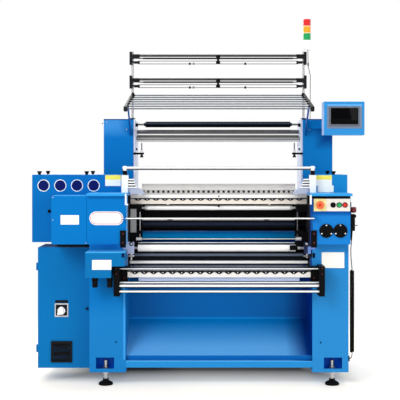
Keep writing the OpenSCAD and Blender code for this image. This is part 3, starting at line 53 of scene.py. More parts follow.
def select_only(*pieces):
    """Makes these the only selected pieces, the first one active."""
    bpy.ops.object.select_all(action="DESELECT")
    for piece in pieces:
        piece.select_set(True)
    bpy.context.view_layer.objects.active = pieces[0]


# Places are measured as on the drawing: from the machine's middle, the frames' front face and the floor
MID_X = (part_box("left_frame")[0].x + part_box("right_frame")[1].x) / 2
FRONT_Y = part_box("left_frame")[0].y


def at(x, y, z):
    """A place in millimetres from the machine's middle, the frames' front face and the floor."""
    return Vector((MID_X + x * MM, FRONT_Y + y * MM, z * MM))


def span(node):
    """A node's lowest and highest corner in the drawing's millimetres."""
    low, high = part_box(node)
    return tuple(Vector(((p.x - MID_X) / MM, (p.y - FRONT_Y) / MM, p.z / MM)) for p in (low, high))


# Camera: straight on and without tilt; all lines that run back meet at the vanishing pixel
CAMERA_HEIGHT = 1.26
CAMERA_BACK = 5.2
CAMERA_LEFT = 0.057
FRAME_PIXELS = 400
FOCAL_PIXELS = 912
VANISHING_PIXEL = (209, 165)
SENSOR = 36

camera_data = bpy.data.cameras.new("camera")
camera_data.sensor_width = SENSOR
camera_data.lens = FOCAL_PIXELS / FRAME_PIXELS * SENSOR
camera_data.shift_x = (FRAME_PIXELS / 2 - VANISHING_PIXEL[0]) / FRAME_PIXELS
camera_data.shift_y = (VANISHING_PIXEL[1] - FRAME_PIXELS / 2) / FRAME_PIXELS
camera = bpy.data.objects.new("camera", camera_data)
camera.location = (MID_X - CAMERA_LEFT, FRONT_Y - CAMERA_BACK, CAMERA_HEIGHT)
camera.rotation_euler = (math.radians(90), 0, 0)
bpy.context.scene.collection.objects.link(camera)
bpy.context.scene.camera = camera


# Curly cord beside the right frame: a short straight lead, its curls, and its end in the gland below
CORD_D = 5
CURL_RADIUS = 10.5
CURL_TURNS = 92
CURL_POINTS = 16
CURL_AXIS = (760, 10)
CURL_TOP = 660
CURL_BOTTOM = 190
UPPER_ROUTE = [(750, -30, 832), (750, -30, 820), (749, -29, 806), (748, -27, 790), (748, -24, 772),
               (749, -19, 752), (751, -12, 730), (754, -4, 710), (757, 4, 690), (759, 9, 676),
               (760, 10, 667), (760, 10, 660)]
LOWER_ROUTE = [(760, 10, 190), (760, 10, 180), (759, 10, 170), (756, 10, 161), (750, 10, 156),
               (744, 10, 155), (739, 10, 155)]


def smooth_route(points, steps=4):
    """A soft line through every point of a route."""
    route = [at(*p) for p in points]
    line = []
    for i in range(len(route) - 1):
        before, start, end, after = (route[max(i - 1, 0)], route[i], route[i + 1],
                                     route[min(i + 2, len(route) - 1)])
        for k in range(steps):
            t = k / steps
            line.append(0.5 * (2 * start + (end - before) * t
                               + (2 * before - 5 * start + 4 * end - after) * t ** 2
                               + (3 * start - before - 3 * end + after) * t ** 3))
    return line + [route[-1]]


def curls():
    """The turns of the curly cord, which start and end on its own axis."""
    total = CURL_TURNS * CURL_POINTS
    line = []
    for i in range(total + 1):
        turn = i / CURL_POINTS
        ease = min(1.0, turn / 0.75, (CURL_TURNS - turn) / 0.75)
        radius = CURL_RADIUS * ease * ease * (3 - 2 * ease)
        angle = 2 * math.pi * turn
        line.append(at(CURL_AXIS[0] + radius * math.cos(angle), CURL_AXIS[1] + radius * math.sin(angle),
                       CURL_TOP + (CURL_BOTTOM - CURL_TOP) * i / total))
    return line


def curly_cord():
    """The whole cord as one tube that follows its route."""
    line = smooth_route(UPPER_ROUTE)[:-1] + curls()[:-1] + smooth_route(LOWER_ROUTE)
    data = bpy.data.curves.new("curly_cord", "CURVE")
    data.dimensions = "3D"
    data.bevel_depth = CORD_D / 2 * MM
    data.bevel_resolution = 2
    data.use_fill_caps = True
    spline = data.splines.new("POLY")
    spline.points.add(len(line) - 1)
    for point, place in zip(spline.points, line):
        point.co = (*place, 1)
    cord = bpy.data.objects.new("curly_cord", data)
    bpy.context.scene.collection.objects.link(cord)
    select_only(cord)
    bpy.ops.object.convert(target="MESH")
    bpy.ops.object.shade_smooth_by_angle(angle=math.radians(50))
    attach(cord, MACHINE)
    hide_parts("side_cable", "cable_coil")
    return cord


cord = curly_cord()


# Node groups: effects that several finishes share
def linear(red, green, blue):
    """A colour as a screen shows it, 0 to 255 a channel, as the linear colour that a shader takes."""
    shares = [c / 255 for c in (red, green, blue)]
    return (*[c / 12.92 if c <= 0.04045 else ((c + 0.055) / 1.055) ** 2.4 for c in shares], 1)


class Net:
    """Adds nodes to a tree and joins their sockets."""

    def __init__(self, tree):
        self.tree = tree

    def add(self, kind, inputs=None, **settings):
        node = self.tree.nodes.new(kind)
        for key, value in settings.items():
            setattr(node, key, value)
        for key, value in (inputs or {}).items():
            if isinstance(value, bpy.types.NodeSocket):
                self.tree.links.new(value, node.inputs[key])
            else:
                node.inputs[key].default_value = value
        return node

    def math(self, operation, *values):
        return self.add("ShaderNodeMath", dict(enumerate(values)), operation=operation).outputs[0]

    def vector(self, operation, *values):
        return self.add("ShaderNodeVectorMath", dict(enumerate(values)), operation=operation).outputs[0]

    def split(self, vector):
        return self.add("ShaderNodeSeparateXYZ", {0: vector}).outputs

    def facing_up(self):
        return self.split(self.add("ShaderNodeNewGeometry").outputs["Normal"])["Z"]

    def ramp(self, value, low, high, out_low=0.0, out_high=1.0):
        return self.add("ShaderNodeMapRange", {"Value": value, "From Min": low, "From Max": high,
                                               "To Min": out_low, "To Max": out_high}).outputs[0]

    def mix(self, factor, first, second, blend="MIX"):
        node = self.add("ShaderNodeMix", {0: factor, 6: first, 7: second}, data_type="RGBA", blend_type=blend)
        return node.outputs[2]

    def noise(self, vector, scale, detail=3.0):
        return self.add("ShaderNodeTexNoise", {"Vector": vector, "Scale": scale, "Detail": detail}).outputs[0]

    def bump(self, height, strength, distance):
        return self.add("ShaderNodeBump", {"Height": height, "Strength": strength,
                                           "Distance": distance}).outputs[0]


KINDS = {"color": "NodeSocketColor", "float": "NodeSocketFloat", "vector": "NodeSocketVector"}
SURFACE = (("Color", "color"), ("Roughness", "float"), ("Normal", "vector"))


def effect(name, inputs, outputs=SURFACE):
    """A new effect group with its inputs and outputs, which every finish can take."""
    tree = bpy.data.node_groups.new(name, "ShaderNodeTree")
    for label, (kind, value) in inputs.items():
        socket = tree.interface.new_socket(label, in_out="INPUT", socket_type=KINDS[kind])
        socket.default_value = value
    for label, kind in outputs:
        tree.interface.new_socket(label, in_out="OUTPUT", socket_type=KINDS[kind])
    net = Net(tree)
    source = net.add("NodeGroupInput").outputs
    target = net.add("NodeGroupOutput")
    place = net.add("ShaderNodeTexCoord").outputs["Object"]
    return net, source, target, place


def finish_effect(net, target, color, roughness, normal):
    for label, socket in (("Color", color), ("Roughness", roughness), ("Normal", normal)):
        net.tree.links.new(socket, target.inputs[label])
    return net.tree


def sprayed_coat():
    """Stove enamel: soft clouds in the colour, a fine orange peel, and a little dust on what faces up."""
    net, source, target, place = effect("sprayed_coat", {
        "Color": ("color", (0.5, 0.5, 0.5, 1)), "Clouds": ("float", 0.06), "Shine": ("float", 0.3),
        "Peel": ("float", 0.12), "Dust": ("float", 0.06)})
    clouds = net.noise(place, 2.2)
    fine = net.noise(place, 38.0, 4.0)
    lighter = net.mix(1.0, source["Color"], (1.18, 1.12, 1.08, 1), "MULTIPLY")
    darker = net.mix(1.0, source["Color"], (0.80, 0.86, 0.9, 1), "MULTIPLY")
    swing = net.math("MULTIPLY", source["Clouds"], 6.0)
    tone = net.math("ADD", 0.5, net.math("MULTIPLY", net.math("SUBTRACT", clouds, 0.5), swing))
    color = net.mix(tone, darker, lighter)
    lying = net.math("MULTIPLY", net.ramp(net.facing_up(), 0.6, 1.0), net.ramp(fine, 0.35, 0.75))
    dust = net.math("MULTIPLY", lying, source["Dust"])
    color = net.mix(dust, color, (0.62, 0.64, 0.66, 1))
    dull = net.math("ADD", net.math("MULTIPLY", fine, 0.08), net.math("MULTIPLY", dust, 0.6))
    roughness = net.math("ADD", source["Shine"], dull)
    normal = net.bump(net.noise(place, 420.0, 2.0), source["Peel"], 0.0004)
    return finish_effect(net, target, color, roughness, normal)


def drawn_metal():
    """Bare or plated metal with fine marks that run one way, and faint smears of oil."""
    net, source, target, place = effect("drawn_metal", {
        "Color": ("color", (0.6, 0.6, 0.6, 1)), "Shine": ("float", 0.25), "Marks": ("float", 0.1),
        "Stretch": ("vector", (6.0, 700.0, 700.0))})
    lines = net.noise(net.vector("MULTIPLY", place, source["Stretch"]), 1.0, 2.0)
    smears = net.noise(place, 14.0, 4.0)
    shade = net.mix(net.ramp(smears, 0.3, 0.75), (0.86, 0.87, 0.88, 1), (1.0, 1.0, 1.0, 1))
    color = net.mix(1.0, source["Color"], shade, "MULTIPLY")
    marked = net.math("MULTIPLY", source["Marks"], net.ramp(lines, 0.35, 0.65))
    streak = net.mix(marked, color, (0.3, 0.31, 0.33, 1))
    dull = net.math("ADD", net.math("MULTIPLY", smears, 0.1), net.math("MULTIPLY", lines, 0.05))
    roughness = net.math("ADD", source["Shine"], dull)
    normal = net.bump(lines, source["Marks"], 0.0003)
    return finish_effect(net, target, streak, roughness, normal)


def moulded_grain():
    """Moulded plastic or rubber: a fine skin grain and slightly uneven gloss."""
    net, source, target, place = effect("moulded_grain", {
        "Color": ("color", (0.1, 0.1, 0.1, 1)), "Shine": ("float", 0.45), "Grain": ("float", 0.15),
        "Size": ("float", 900.0)})
    grain = net.noise(place, source["Size"], 2.0)
    patches = net.noise(place, 22.0, 3.0)
    lighter = net.mix(1.0, source["Color"], (1.35, 1.32, 1.28, 1), "MULTIPLY")
    color = net.mix(net.ramp(patches, 0.3, 0.7), source["Color"], lighter)
    uneven = net.math("MULTIPLY", net.math("SUBTRACT", patches, 0.5), 0.16)
    roughness = net.math("ADD", source["Shine"], uneven)
    return finish_effect(net, target, color, roughness, net.bump(grain, source["Grain"], 0.0003))


KNURL_PITCH = 0.0024


def knurled_skin():
    """Crossed fine ridges round a bar that lies along X, centred by the Centre input."""
    net, source, target, place = effect("knurled_skin", {
        "Color": ("color", (0.4, 0.4, 0.4, 1)), "Shine": ("float", 0.35), "Depth": ("float", 0.5),
        "Centre": ("vector", (0.0, 0.0, 0.0)), "Radius": ("float", 0.0085)})
    parts = net.split(net.vector("SUBTRACT", place, source["Centre"]))
    arc = net.math("MULTIPLY", net.math("ARCTAN2", parts["Y"], parts["Z"]), source["Radius"])
    turns = 2 * math.pi / KNURL_PITCH
    waves = [net.math("SINE", net.math("MULTIPLY", net.math(sign, parts["X"], arc), turns))
             for sign in ("ADD", "SUBTRACT")]
    ridges = net.math("MAXIMUM", *waves)
    valleys = net.mix(1.0, source["Color"], (0.45, 0.45, 0.47, 1), "MULTIPLY")
    color = net.mix(net.ramp(ridges, -0.2, 1.0), valleys, source["Color"])
    roughness = net.math("ADD", source["Shine"], net.math("MULTIPLY", net.noise(place, 30.0), 0.1))
    return finish_effect(net, target, color, roughness, net.bump(ridges, source["Depth"], 0.0005))


def painted_reflection_bands(name, levels):
    """Painted reflection: the room's light and dark bands on a shiny roller, by how far each spot faces up.
    """
    net, source, target, place = effect(name, {"Color": ("color", (1, 1, 1, 1)), "Shine": ("float", 0.2)})
    bands = net.add("ShaderNodeValToRGB", {"Fac": net.ramp(net.facing_up(), -1.0, 1.0)})
    stops = bands.color_ramp.elements
    while len(stops) < len(levels):
        stops.new(0.5)
    for stop, (facing, grey) in zip(stops, levels):
        stop.position = (facing + 1) / 2
        stop.color = linear(grey, grey, grey)
    color = net.mix(1.0, source["Color"], bands.outputs[0], "MULTIPLY")
    fine = net.noise(place, 30.0)
    roughness = net.math("ADD", source["Shine"], net.math("MULTIPLY", fine, 0.1))
    return finish_effect(net, target, color, roughness, net.bump(fine, 0.02, 0.0003))


def inside_box():
    """1 inside a box and 0 outside, with a soft border; Side 1 or -1 keeps to one side of the middle."""
    net, source, target, place = effect("inside_box", {
        "Low": ("vector", (0.0, 0.0, 0.0)), "High": ("vector", (1.0, 1.0, 1.0)), "Side": ("float", 0.0),
        "Soft": ("float", 0.0)}, outputs=(("Inside", "float"),))
    parts = net.split(place)
    across = net.math("SUBTRACT", parts["X"], MID_X)
    sideways = net.math("ABSOLUTE", across)
    folded = net.add("ShaderNodeCombineXYZ", {0: sideways, 1: parts["Y"], 2: parts["Z"]}).outputs[0]
    over = net.vector("SUBTRACT", folded, source["Low"])
    under = net.vector("SUBTRACT", source["High"], folded)
    depth = net.split(net.vector("MINIMUM", over, under))
    nearest = net.math("MINIMUM", net.math("MINIMUM", depth["X"], depth["Y"]), depth["Z"])
    right_side = net.math("GREATER_THAN", net.math("MULTIPLY", across, source["Side"]), -1e-4)
    inside = net.ramp(nearest, 0.0, source["Soft"])
    net.tree.links.new(net.math("MULTIPLY", inside, right_side), target.inputs["Inside"])
    return net.tree


# Painted reflection and sheen bands: how far up a spot faces, -1 to 1, and the grey that it shows, 0 to 255
FEED_REFLECTION_STOPS = ((-1.0, 244), (-0.5, 236), (-0.36, 96), (-0.22, 130), (-0.06, 190), (0.08, 172), (0.24, 66),
              (0.34, 44), (0.5, 104), (0.76, 126), (0.92, 200))
ROD_REFLECTION_STOPS = ((-1.0, 16), (-0.6, 30), (-0.35, 236), (0.5, 255), (0.8, 120), (1.0, 30))
LIFT_REFLECTION_STOPS = ((-1.0, 92), (-0.2, 98), (-0.08, 250), (0.7, 255), (0.9, 140))
SHEEN_BANDS = ((-1.0, 70), (-0.6, 60), (-0.3, 14), (0.0, 100), (0.15, 255), (0.5, 255), (0.7, 120),
               (0.88, 12))

COAT = sprayed_coat()
METAL = drawn_metal()
GRAIN = moulded_grain()
KNURL = knurled_skin()
FEED_REFLECTION_PAINT = painted_reflection_bands("painted_feed_reflection", FEED_REFLECTION_STOPS)
ROD_REFLECTION_PAINT = painted_reflection_bands("painted_rod_reflection", ROD_REFLECTION_STOPS)
LIFT_REFLECTION_PAINT = painted_reflection_bands("painted_lift_reflection", LIFT_REFLECTION_STOPS)
SHEEN = painted_reflection_bands("sheen_bands", SHEEN_BANDS)
BOX = inside_box()


# Finishes
FAR = 2500
HARD_EDGE = 0.01


def area(x=(-FAR, FAR), y=(-FAR, FAR), z=(-FAR, FAR), side=0, border=HARD_EDGE):
    """A box in the drawing's millimetres, alike on both sides of the middle, or on side 1 or -1 alone."""
    low, high = zip(x, y, z)
    return low, high, side, border


def inside_any(net, areas):
    """1 inside any of the areas, 0 outside them all, and between the two in a soft border."""
    middle = Vector((MID_X, 0, 0))
    total = None
    for low, high, side, border in areas:
        mask = net.add("ShaderNodeGroup", {
            "Low": at(*low) - middle, "High": at(*high) - middle, "Side": side, "Soft": border * MM},
            node_tree=BOX).outputs[0]
        total = mask if total is None else net.math("MAXIMUM", total, mask)
    return total


def patch(shade, *areas, metal=0.0):
    """A part of a finish that has another colour, as a screen shows it, and another share of metal."""
    return areas, linear(*shade), metal


LOW_GLARE = 0.05


def finish(name, group, shade, metallic=0.0, shader=None, patches=(), **values):
    """A material: one effect group into a Principled shader, whose even values sit on its own sockets.

    The shade is the colour as a screen shows it, and the patches lie over it in their order.
    """
    material = bpy.data.materials.new(name)
    material.use_nodes = True
    net = Net(material.node_tree)
    principled = material.node_tree.nodes["Principled BSDF"]
    principled.inputs["Metallic"].default_value = metallic
    for label, value in {"Specular IOR Level": LOW_GLARE, **(shader or {})}.items():
        principled.inputs[label].default_value = value
    color = linear(*shade)
    metal = metallic
    skin = net.add("ShaderNodeGroup", {"Color": color, **values}, node_tree=group)
    for areas, patch_color, patch_metal in patches:
        inside = inside_any(net, areas)
        color = net.mix(inside, color, patch_color)
        metal = net.ramp(inside, 0.0, 1.0, metal, patch_metal)
    if patches:
        net.tree.links.new(color, skin.inputs["Color"])
        net.tree.links.new(metal, principled.inputs["Metallic"])
    for label, socket in (("Color", "Base Color"), ("Roughness", "Roughness"), ("Normal", "Normal")):
        net.tree.links.new(skin.outputs[label], principled.inputs[socket])
    return material


# Finishes of one colour
GLOSS = {"Specular IOR Level": 0.4, "Coat Weight": 0.3, "Coat Roughness": 0.12}
ALONG_Z = (700.0, 700.0, 6.0)
ROUND_X = (900.0, 9.0, 9.0)
PRINTED = {"Peel": 0.03, "Dust": 0.0}
CREAM_COAT = {"Clouds": 0.02, "Shine": 0.38}

# One blue paint: these blues and the patched ones below differ by painted light and shade
blue_enamel = finish("blue_enamel", COAT, (5, 114, 190))
box_enamel = finish("box_enamel", COAT, (5, 108, 182))
lit_blue_enamel = finish("lit_blue_enamel", COAT, (24, 132, 196))
door_enamel = finish("door_enamel", COAT, (8, 111, 178), Shine=0.36)
black_enamel = finish("black_enamel", COAT, (9, 8, 10), Clouds=0.1, Dust=0.02)
satin_black = finish("satin_black", COAT, (12, 12, 14), Shine=0.42, Peel=0.3, Dust=0.02)
chrome_plate = finish("chrome_plate", METAL, (226, 228, 232), metallic=1.0, Shine=0.08, Marks=0.03)
grey_chrome = finish("grey_chrome", METAL, (118, 118, 121), metallic=0.95, Shine=0.16, Marks=0.05)
painted_reflection_chrome = finish("painted_reflection_chrome", FEED_REFLECTION_PAINT, (252, 250, 246), metallic=0.1)
painted_reflection_rod = finish("painted_reflection_rod", ROD_REFLECTION_PAINT, (252, 253, 252), metallic=0.1)
bright_steel = finish("bright_steel", METAL, (236, 236, 240), metallic=0.3, Shine=0.3, Marks=0.05)
turned_steel = finish("turned_steel", METAL, (176, 178, 184), metallic=1.0, Shine=0.26, Marks=0.12,
                      Stretch=ROUND_X)
zinc_steel = finish("zinc_steel", METAL, (196, 197, 200), metallic=1.0, Shine=0.3, Marks=0.08)
brown_screw = finish("brown_screw", METAL, (112, 50, 46), metallic=0.4, Shine=0.34, Marks=0.05)
casting_grey = finish("casting_grey", COAT, (128, 134, 140), Shine=0.5, Peel=0.5, Dust=0.2)
tyre_rubber = finish("tyre_rubber", GRAIN, (13, 13, 15), Shine=0.62, Grain=0.3)
black_plastic = finish("black_plastic", GRAIN, (12, 12, 13), Shine=0.4, Grain=0.15)
white_plastic = finish("white_plastic", GRAIN, (236, 236, 234), Shine=0.3, Grain=0.08)
red_plastic = finish("red_plastic", GRAIN, (204, 28, 24), Shine=0.24, Grain=0.05, shader=GLOSS)
green_plastic = finish("green_plastic", GRAIN, (24, 150, 78), Shine=0.26, Grain=0.05, shader=GLOSS)
wine_plastic = finish("wine_plastic", GRAIN, (98, 22, 26), Shine=0.28, Grain=0.05, shader=GLOSS)
screen_glass = finish("screen_glass", GRAIN, (5, 5, 7), Shine=0.06, Grain=0.0)
window_blue = finish("window_blue", COAT, (8, 98, 236), Clouds=0.03, Dust=0.0)
navy_paint = finish("navy_paint", COAT, (4, 22, 66), Clouds=0.03, Dust=0.0)
sign_blue = finish("sign_blue", COAT, (12, 24, 92), Clouds=0.02, Shine=0.36, **PRINTED)
sign_white = finish("sign_white", COAT, (246, 246, 246), Clouds=0.01, Shine=0.34, **PRINTED)
sign_yellow = finish("sign_yellow", COAT, (248, 234, 104), Clouds=0.02, Shine=0.36, **PRINTED)
sign_red = finish("sign_red", COAT, (168, 30, 40), Clouds=0.02, Shine=0.36, **PRINTED)
card_white = finish("card_white", COAT, (250, 248, 240), Clouds=0.03, Shine=0.5, **PRINTED)
SPREADER_LOW, SPREADER_HIGH = span("spreader_roller")
knurled_steel = finish("knurled_steel", KNURL, (130, 132, 138), metallic=0.9, Centre=at(
    0, (SPREADER_LOW.y + SPREADER_HIGH.y) / 2, (SPREADER_LOW.z + SPREADER_HIGH.z) / 2))

# Places that the patched finishes and the fittings share
STAGE_TOP = span("right_upper_box")[0].z
COLUMN_FACE = span("screen_arm")[1].y
COLUMN_TOP = span("left_frame")[1].z
COVER_FOOT = span("left_cover")[0].z
GEAR_TOP = span("takedown_cover")[1].z
GEAR_FACE = span("takedown_cover")[0].y
DRIVE_FACE = span("drive_box")[0].y
COVER_FACE = -70
PANEL_FACE = -72
PLATE_FACE = 20
APRON_TOP = 142
EDGE_TOP = 170
RAIL_Y = 530.5
RAIL_ZS = (1947, 1798)
SWITCH_X = 915.5
SWITCH_Z = 415
BEFORE_GEAR_PLATE = (0, 340.5)
SCREEN_LOW = span("screen_panel")[0]
LENS_FOOT = span("tower_lenses")[0].z
LENS_STEP = (span("tower_lenses")[1].z - LENS_FOOT) / 3
DARK = (20, 21, 24)
PALE = (240, 240, 242)
STEEL = (176, 178, 184)

# Enamel with painted light and shade, brighter or darker in places, as the photograph shows it
# Painted shade: a dark line along the top edge of each column's front
painted_top_edge_shade = patch((6, 72, 132), area(x=(520, FAR), y=(500, COLUMN_FACE + 2), z=(COLUMN_TOP - 7, FAR)))
# Frames, with painted light and shade: the left one has a foot painted paler as lit, a painted highlight on
# its inner edge and a painted light strip over the gear cover; the right one is painted lighter as lit except
# on its column, with painted shade on its inner face; the left column is painted lighter and the right one
# darker towards its outer upper corner
left_blue = finish("left_blue", COAT, (5, 114, 190), patches=[
    patch((24, 121, 191), area(z=(-FAR, 500), border=130)),
    patch((62, 152, 226), area(x=(536, 545), y=(-1, 1), z=(150, 650), side=-1)),
    patch((36, 172, 250), area(x=(533, 740), y=(-1, 1), z=(GEAR_TOP + 0.2, COVER_FOOT), side=-1)),
    patch((62, 146, 216), area(x=(560, FAR), y=(-FAR, 600), z=(1430, FAR), side=-1, border=70)),
    painted_top_edge_shade])
right_blue = finish("right_blue", COAT, (40, 132, 200), patches=[
    patch((2, 48, 140), area(x=(531, 533.5), y=(4, FAR), z=(90, 640), side=1)),
    patch((12, 120, 191), area(y=(500, FAR), z=(STAGE_TOP + 0.2, FAR))),
    patch((3, 66, 134), area(x=(600, FAR), y=(-FAR, 600), z=(1350, FAR), side=1, border=70)),
    painted_top_edge_shade])
# Covers, with painted light and shade: painted highlights on the shelves and upper edges, painted shade on
# the control box above its middle, and a pale inner side on the left cover
gear_blue = finish("gear_blue", COAT, (12, 110, 173), patches=[
    patch((70, 176, 240), area(z=(GEAR_TOP - 3, FAR)))])
control_blue = finish("control_blue", COAT, (26, 122, 202), patches=[
    patch((6, 80, 162), area(z=(970, FAR), border=18)),
    patch((50, 152, 220), area(z=(STAGE_TOP - 0.4, FAR)))])
cover_blue = finish("cover_blue", COAT, (5, 114, 190), patches=[
    patch((44, 150, 222), area(z=(STAGE_TOP - 0.4, FAR))),
    patch((118, 180, 236), area(x=(500, 523), y=(COVER_FACE + 1, 0), z=(COVER_FOOT, STAGE_TOP), side=-1))])
# Screen box: its left side painted pale as lit, the grey lip round the screen, and a painted highlight
# on the lip's top
screen_blue = finish("screen_blue", COAT, (50, 140, 206), patches=[
    patch((150, 180, 230), area(x=(590, 598.6), y=(-0.5, 100))),
    patch((116, 128, 150), area(x=(590, FAR), y=(-10, -0.2))),
    patch((96, 168, 230), area(x=(590, FAR), y=(-10, -0.2), z=(1594.5, FAR)))])
# Chute, with painted light and shade: the slope is painted lighter towards its foot, the back panel painted
# darker towards its top and the right end painted in shade; then the riser at the foot painted darker as
# shade, and the apron with a painted highlight on its upper fold
tray_blue = finish("tray_blue", COAT, (3, 132, 212), Dust=0.0, Clouds=0.03, patches=[
    patch((86, 160, 224), area(y=(-200, FAR), z=(-FAR, 318), border=110)),
    patch((6, 104, 182), area(z=(345, FAR))),
    patch((4, 44, 90), area(y=(100, FAR), z=(470, FAR), border=140)),
    patch((2, 50, 128), area(x=(390, FAR), side=1, border=120)),
    patch((3, 98, 178), area(y=(20, 30), z=(APRON_TOP + 0.6, EDGE_TOP - 0.4))),
    patch((36, 136, 206), area(y=(-5, 24), z=(-FAR, APRON_TOP + 0.5))),
    patch((66, 160, 228), area(y=(-5, 24), z=(APRON_TOP - 4, APRON_TOP + 0.5)))])
# Cross members: painted shade on the beam's lower part and a painted highlight along its top, and the braces
# are a little darker
frame_blue = finish("frame_blue", COAT, (8, 108, 205), patches=[
    patch((4, 34, 72), area(y=(200, FAR), z=(700, 822))),
    patch((4, 174, 255), area(x=(-FAR, 500), y=(200, FAR), z=(808, 860), border=24)),
    patch((8, 82, 158), area(x=(520, 600), z=(1430, FAR)))])
# Bars: the needle bar's white top, the lower bar, and the bluish lip under the lower bar
bar_cream = finish("bar_cream", COAT, (236, 227, 216), Dust=0.04, **CREAM_COAT, patches=[
    patch((252, 250, 248), area(z=(1065, FAR))),
    patch((241, 239, 236), area(z=(-FAR, 700))),
    patch((204, 218, 248), area(y=(-FAR, 0), z=(-FAR, 625.2)))])

# Yarn stand: thin dark wires, and over them the uprights, two pale clips, the rails and black brackets
clip_areas = [area(x=(147, 160.5), y=(RAIL_Y - 6, RAIL_Y + 4), z=(z - 58.5, z - 43.5), side=-1)
              for z in RAIL_ZS]
rail_areas = [area(y=(RAIL_Y - 8.5, RAIL_Y + 8.5), z=(z - 8.5, z + 8.5)) for z in RAIL_ZS]
bracket_areas = [box for z in RAIL_ZS for box in (
    area(x=(491, 560), y=(RAIL_Y - 9.1, RAIL_Y + 3.1), z=(z - 58, z + 25)),
    area(x=(541.9, 560), y=(RAIL_Y - 9.1, RAIL_Y + 21.1), z=(z - 58, z + 25)),
    area(x=(159.9, 178), y=(RAIL_Y - 5.1, RAIL_Y + 3.1), z=(z - 59, z - 43), side=1),
    area(x=(-FAR, 470), y=(RAIL_Y - 9.5, RAIL_Y + 1.5), z=(z - 23.3, z - 12.3)))]
stand_steel = finish("stand_steel", METAL, (50, 52, 52), metallic=0.9, Shine=0.24, Marks=0.06, patches=[
    patch((188, 188, 186), area(x=(500, 560), y=(535, FAR), z=(1540, 2000)), metal=0.5),
    patch((172, 174, 176), *clip_areas, metal=0.9),
    patch((78, 79, 78), *rail_areas, metal=0.8),
    patch(DARK, *bracket_areas)])
# Rack rods between black side bars, and the needle bed with the insides of its windows painted dark as shade
rack_steel = finish("rack_steel", METAL, (126, 130, 136), metallic=0.7, Shine=0.26, Marks=0.08, patches=[
    patch((12, 12, 15), area(x=(520, FAR)))])
bed_metal = finish("bed_metal", METAL, (206, 203, 200), metallic=0.25, Shine=0.42, Marks=0.12, patches=[
    patch((8, 8, 10), area(x=(-FAR, 456), y=(214.7, 223.2), z=(1094.3, 1109.7)))])
# Side plates: low halves painted dark as shade, front edges with a painted highlight on the left and painted
# shade on the right, and painted shade where the right frame's opening is; the wing plates in front, the
# right one darker with painted shade at its inner end and top; the pale halves on the columns; and the
# brackets behind the rollers, the right rod painted darker as shade
LOW_HALF = (-FAR, STAGE_TOP - 3)
FRONT_EDGE = (PLATE_FACE - 1, PLATE_FACE + 0.3)
WING = (-7, PLATE_FACE)
plate_metal = finish("plate_metal", METAL, (190, 200, 230), metallic=0.2, Shine=0.42, Marks=0.1,
                     Stretch=ALONG_Z, patches=[
    patch((16, 19, 30), area(y=(PLATE_FACE + 0.2, FAR), z=LOW_HALF), metal=0.2),
    patch((96, 164, 228), area(x=(520, FAR), y=FRONT_EDGE, z=LOW_HALF, side=-1)),
    patch((14, 82, 172), area(x=(520, FAR), y=FRONT_EDGE, z=LOW_HALF, side=1)),
    patch((10, 12, 20), area(x=(520, 534), y=FRONT_EDGE, z=(730, 758), side=1)),
    patch((112, 146, 218), area(x=(480, FAR), y=WING, z=(700, 830), side=1)),
    patch((14, 26, 70), area(x=(480, 506), y=WING, z=(700, 830), side=1),
          area(x=(480, FAR), y=WING, z=(796, 830), side=1)),
    patch((228, 233, 250), area(y=(500, FAR), z=(STAGE_TOP + 0.2, FAR))),
    patch((178, 178, 180), area(x=(480, 517), y=(131, 141), z=(800, 1010)),
          area(x=(455, 469), y=(143, 157), z=(840, 986)), metal=0.3),
    patch((104, 104, 108), area(x=(455, 469), y=(143, 157), z=(840, 986), side=1), metal=0.2)])
# End brackets: the eye of the start rod is blue, and the tension arms' pins and collars are bright
bracket_black = finish("bracket_black", COAT, (12, 12, 14), Shine=0.42, Peel=0.3, Dust=0.02, patches=[
    patch((10, 104, 184), area(x=(523, 548), y=(-FAR, COVER_FACE - 0.1), z=(945, 975))),
    patch((112, 112, 116), area(x=(477.5, 486.5), z=(1352.2, 1402)), metal=0.3),
    patch((226, 227, 232), area(x=(470.5, 493.5), z=(1338.2, 1352.6)), metal=0.1)])
# Rods and rollers: painted reflection bands on the shiny ones and a painted sheen on the dark ones, with
# bright journals and collars at their ends
guide_tube = finish("guide_tube", COAT, (253, 254, 252), Shine=0.28, Clouds=0.01, Dust=0.0, patches=[
    patch((204, 205, 208), area(x=(422, FAR)), metal=0.3)])
painted_reflection_lift = finish("painted_reflection_lift", LIFT_REFLECTION_PAINT, (252, 253, 255), metallic=0.1, patches=[
    patch(PALE, area(x=(536, FAR)))])
painted_reflection_guide_rod = finish("painted_reflection_guide_rod", ROD_REFLECTION_PAINT, (248, 252, 255), metallic=0.1, patches=[
    patch(PALE, area(x=(450, 485), y=(135, 165), z=(811, 841)))])
block_white = finish("block_white", COAT, (246, 246, 246), Clouds=0.02, Shine=0.36, Dust=0.02, patches=[
    patch((188, 196, 218), area(x=(400, 529), z=(-FAR, 1124.5)), metal=0.4)])
roller_white = finish("roller_white", COAT, (253, 252, 250), Shine=0.28, Clouds=0.01, Dust=0.0, patches=[
    patch(STEEL, area(x=(470, FAR)), metal=0.9)])
painted_sheen_grip = finish("painted_sheen_grip", SHEEN, (88, 97, 114), Shine=0.3, patches=[
    patch(STEEL, area(x=(489.1, FAR)), metal=0.9)])
painted_sheen_black = finish("painted_sheen_black", SHEEN, (26, 33, 50), patches=[
    patch((20, 22, 28), area(x=(450.1, FAR)), metal=0.3)])
painted_sheen_navy = finish("painted_sheen_navy", SHEEN, (48, 58, 72), Shine=0.42, patches=[
    patch(STEEL, area(x=(471.1, FAR)), metal=0.9)])
# Button panel: yellow behind the stop button, cream behind the others, and black rings
panel_metal = finish("panel_metal", COAT, (232, 226, 214), Dust=0.02, **CREAM_COAT, patches=[
    patch((246, 230, 158), area(x=(-FAR, 603))),
    patch((20, 20, 22), area(y=(-FAR, PANEL_FACE - 0.3)))])

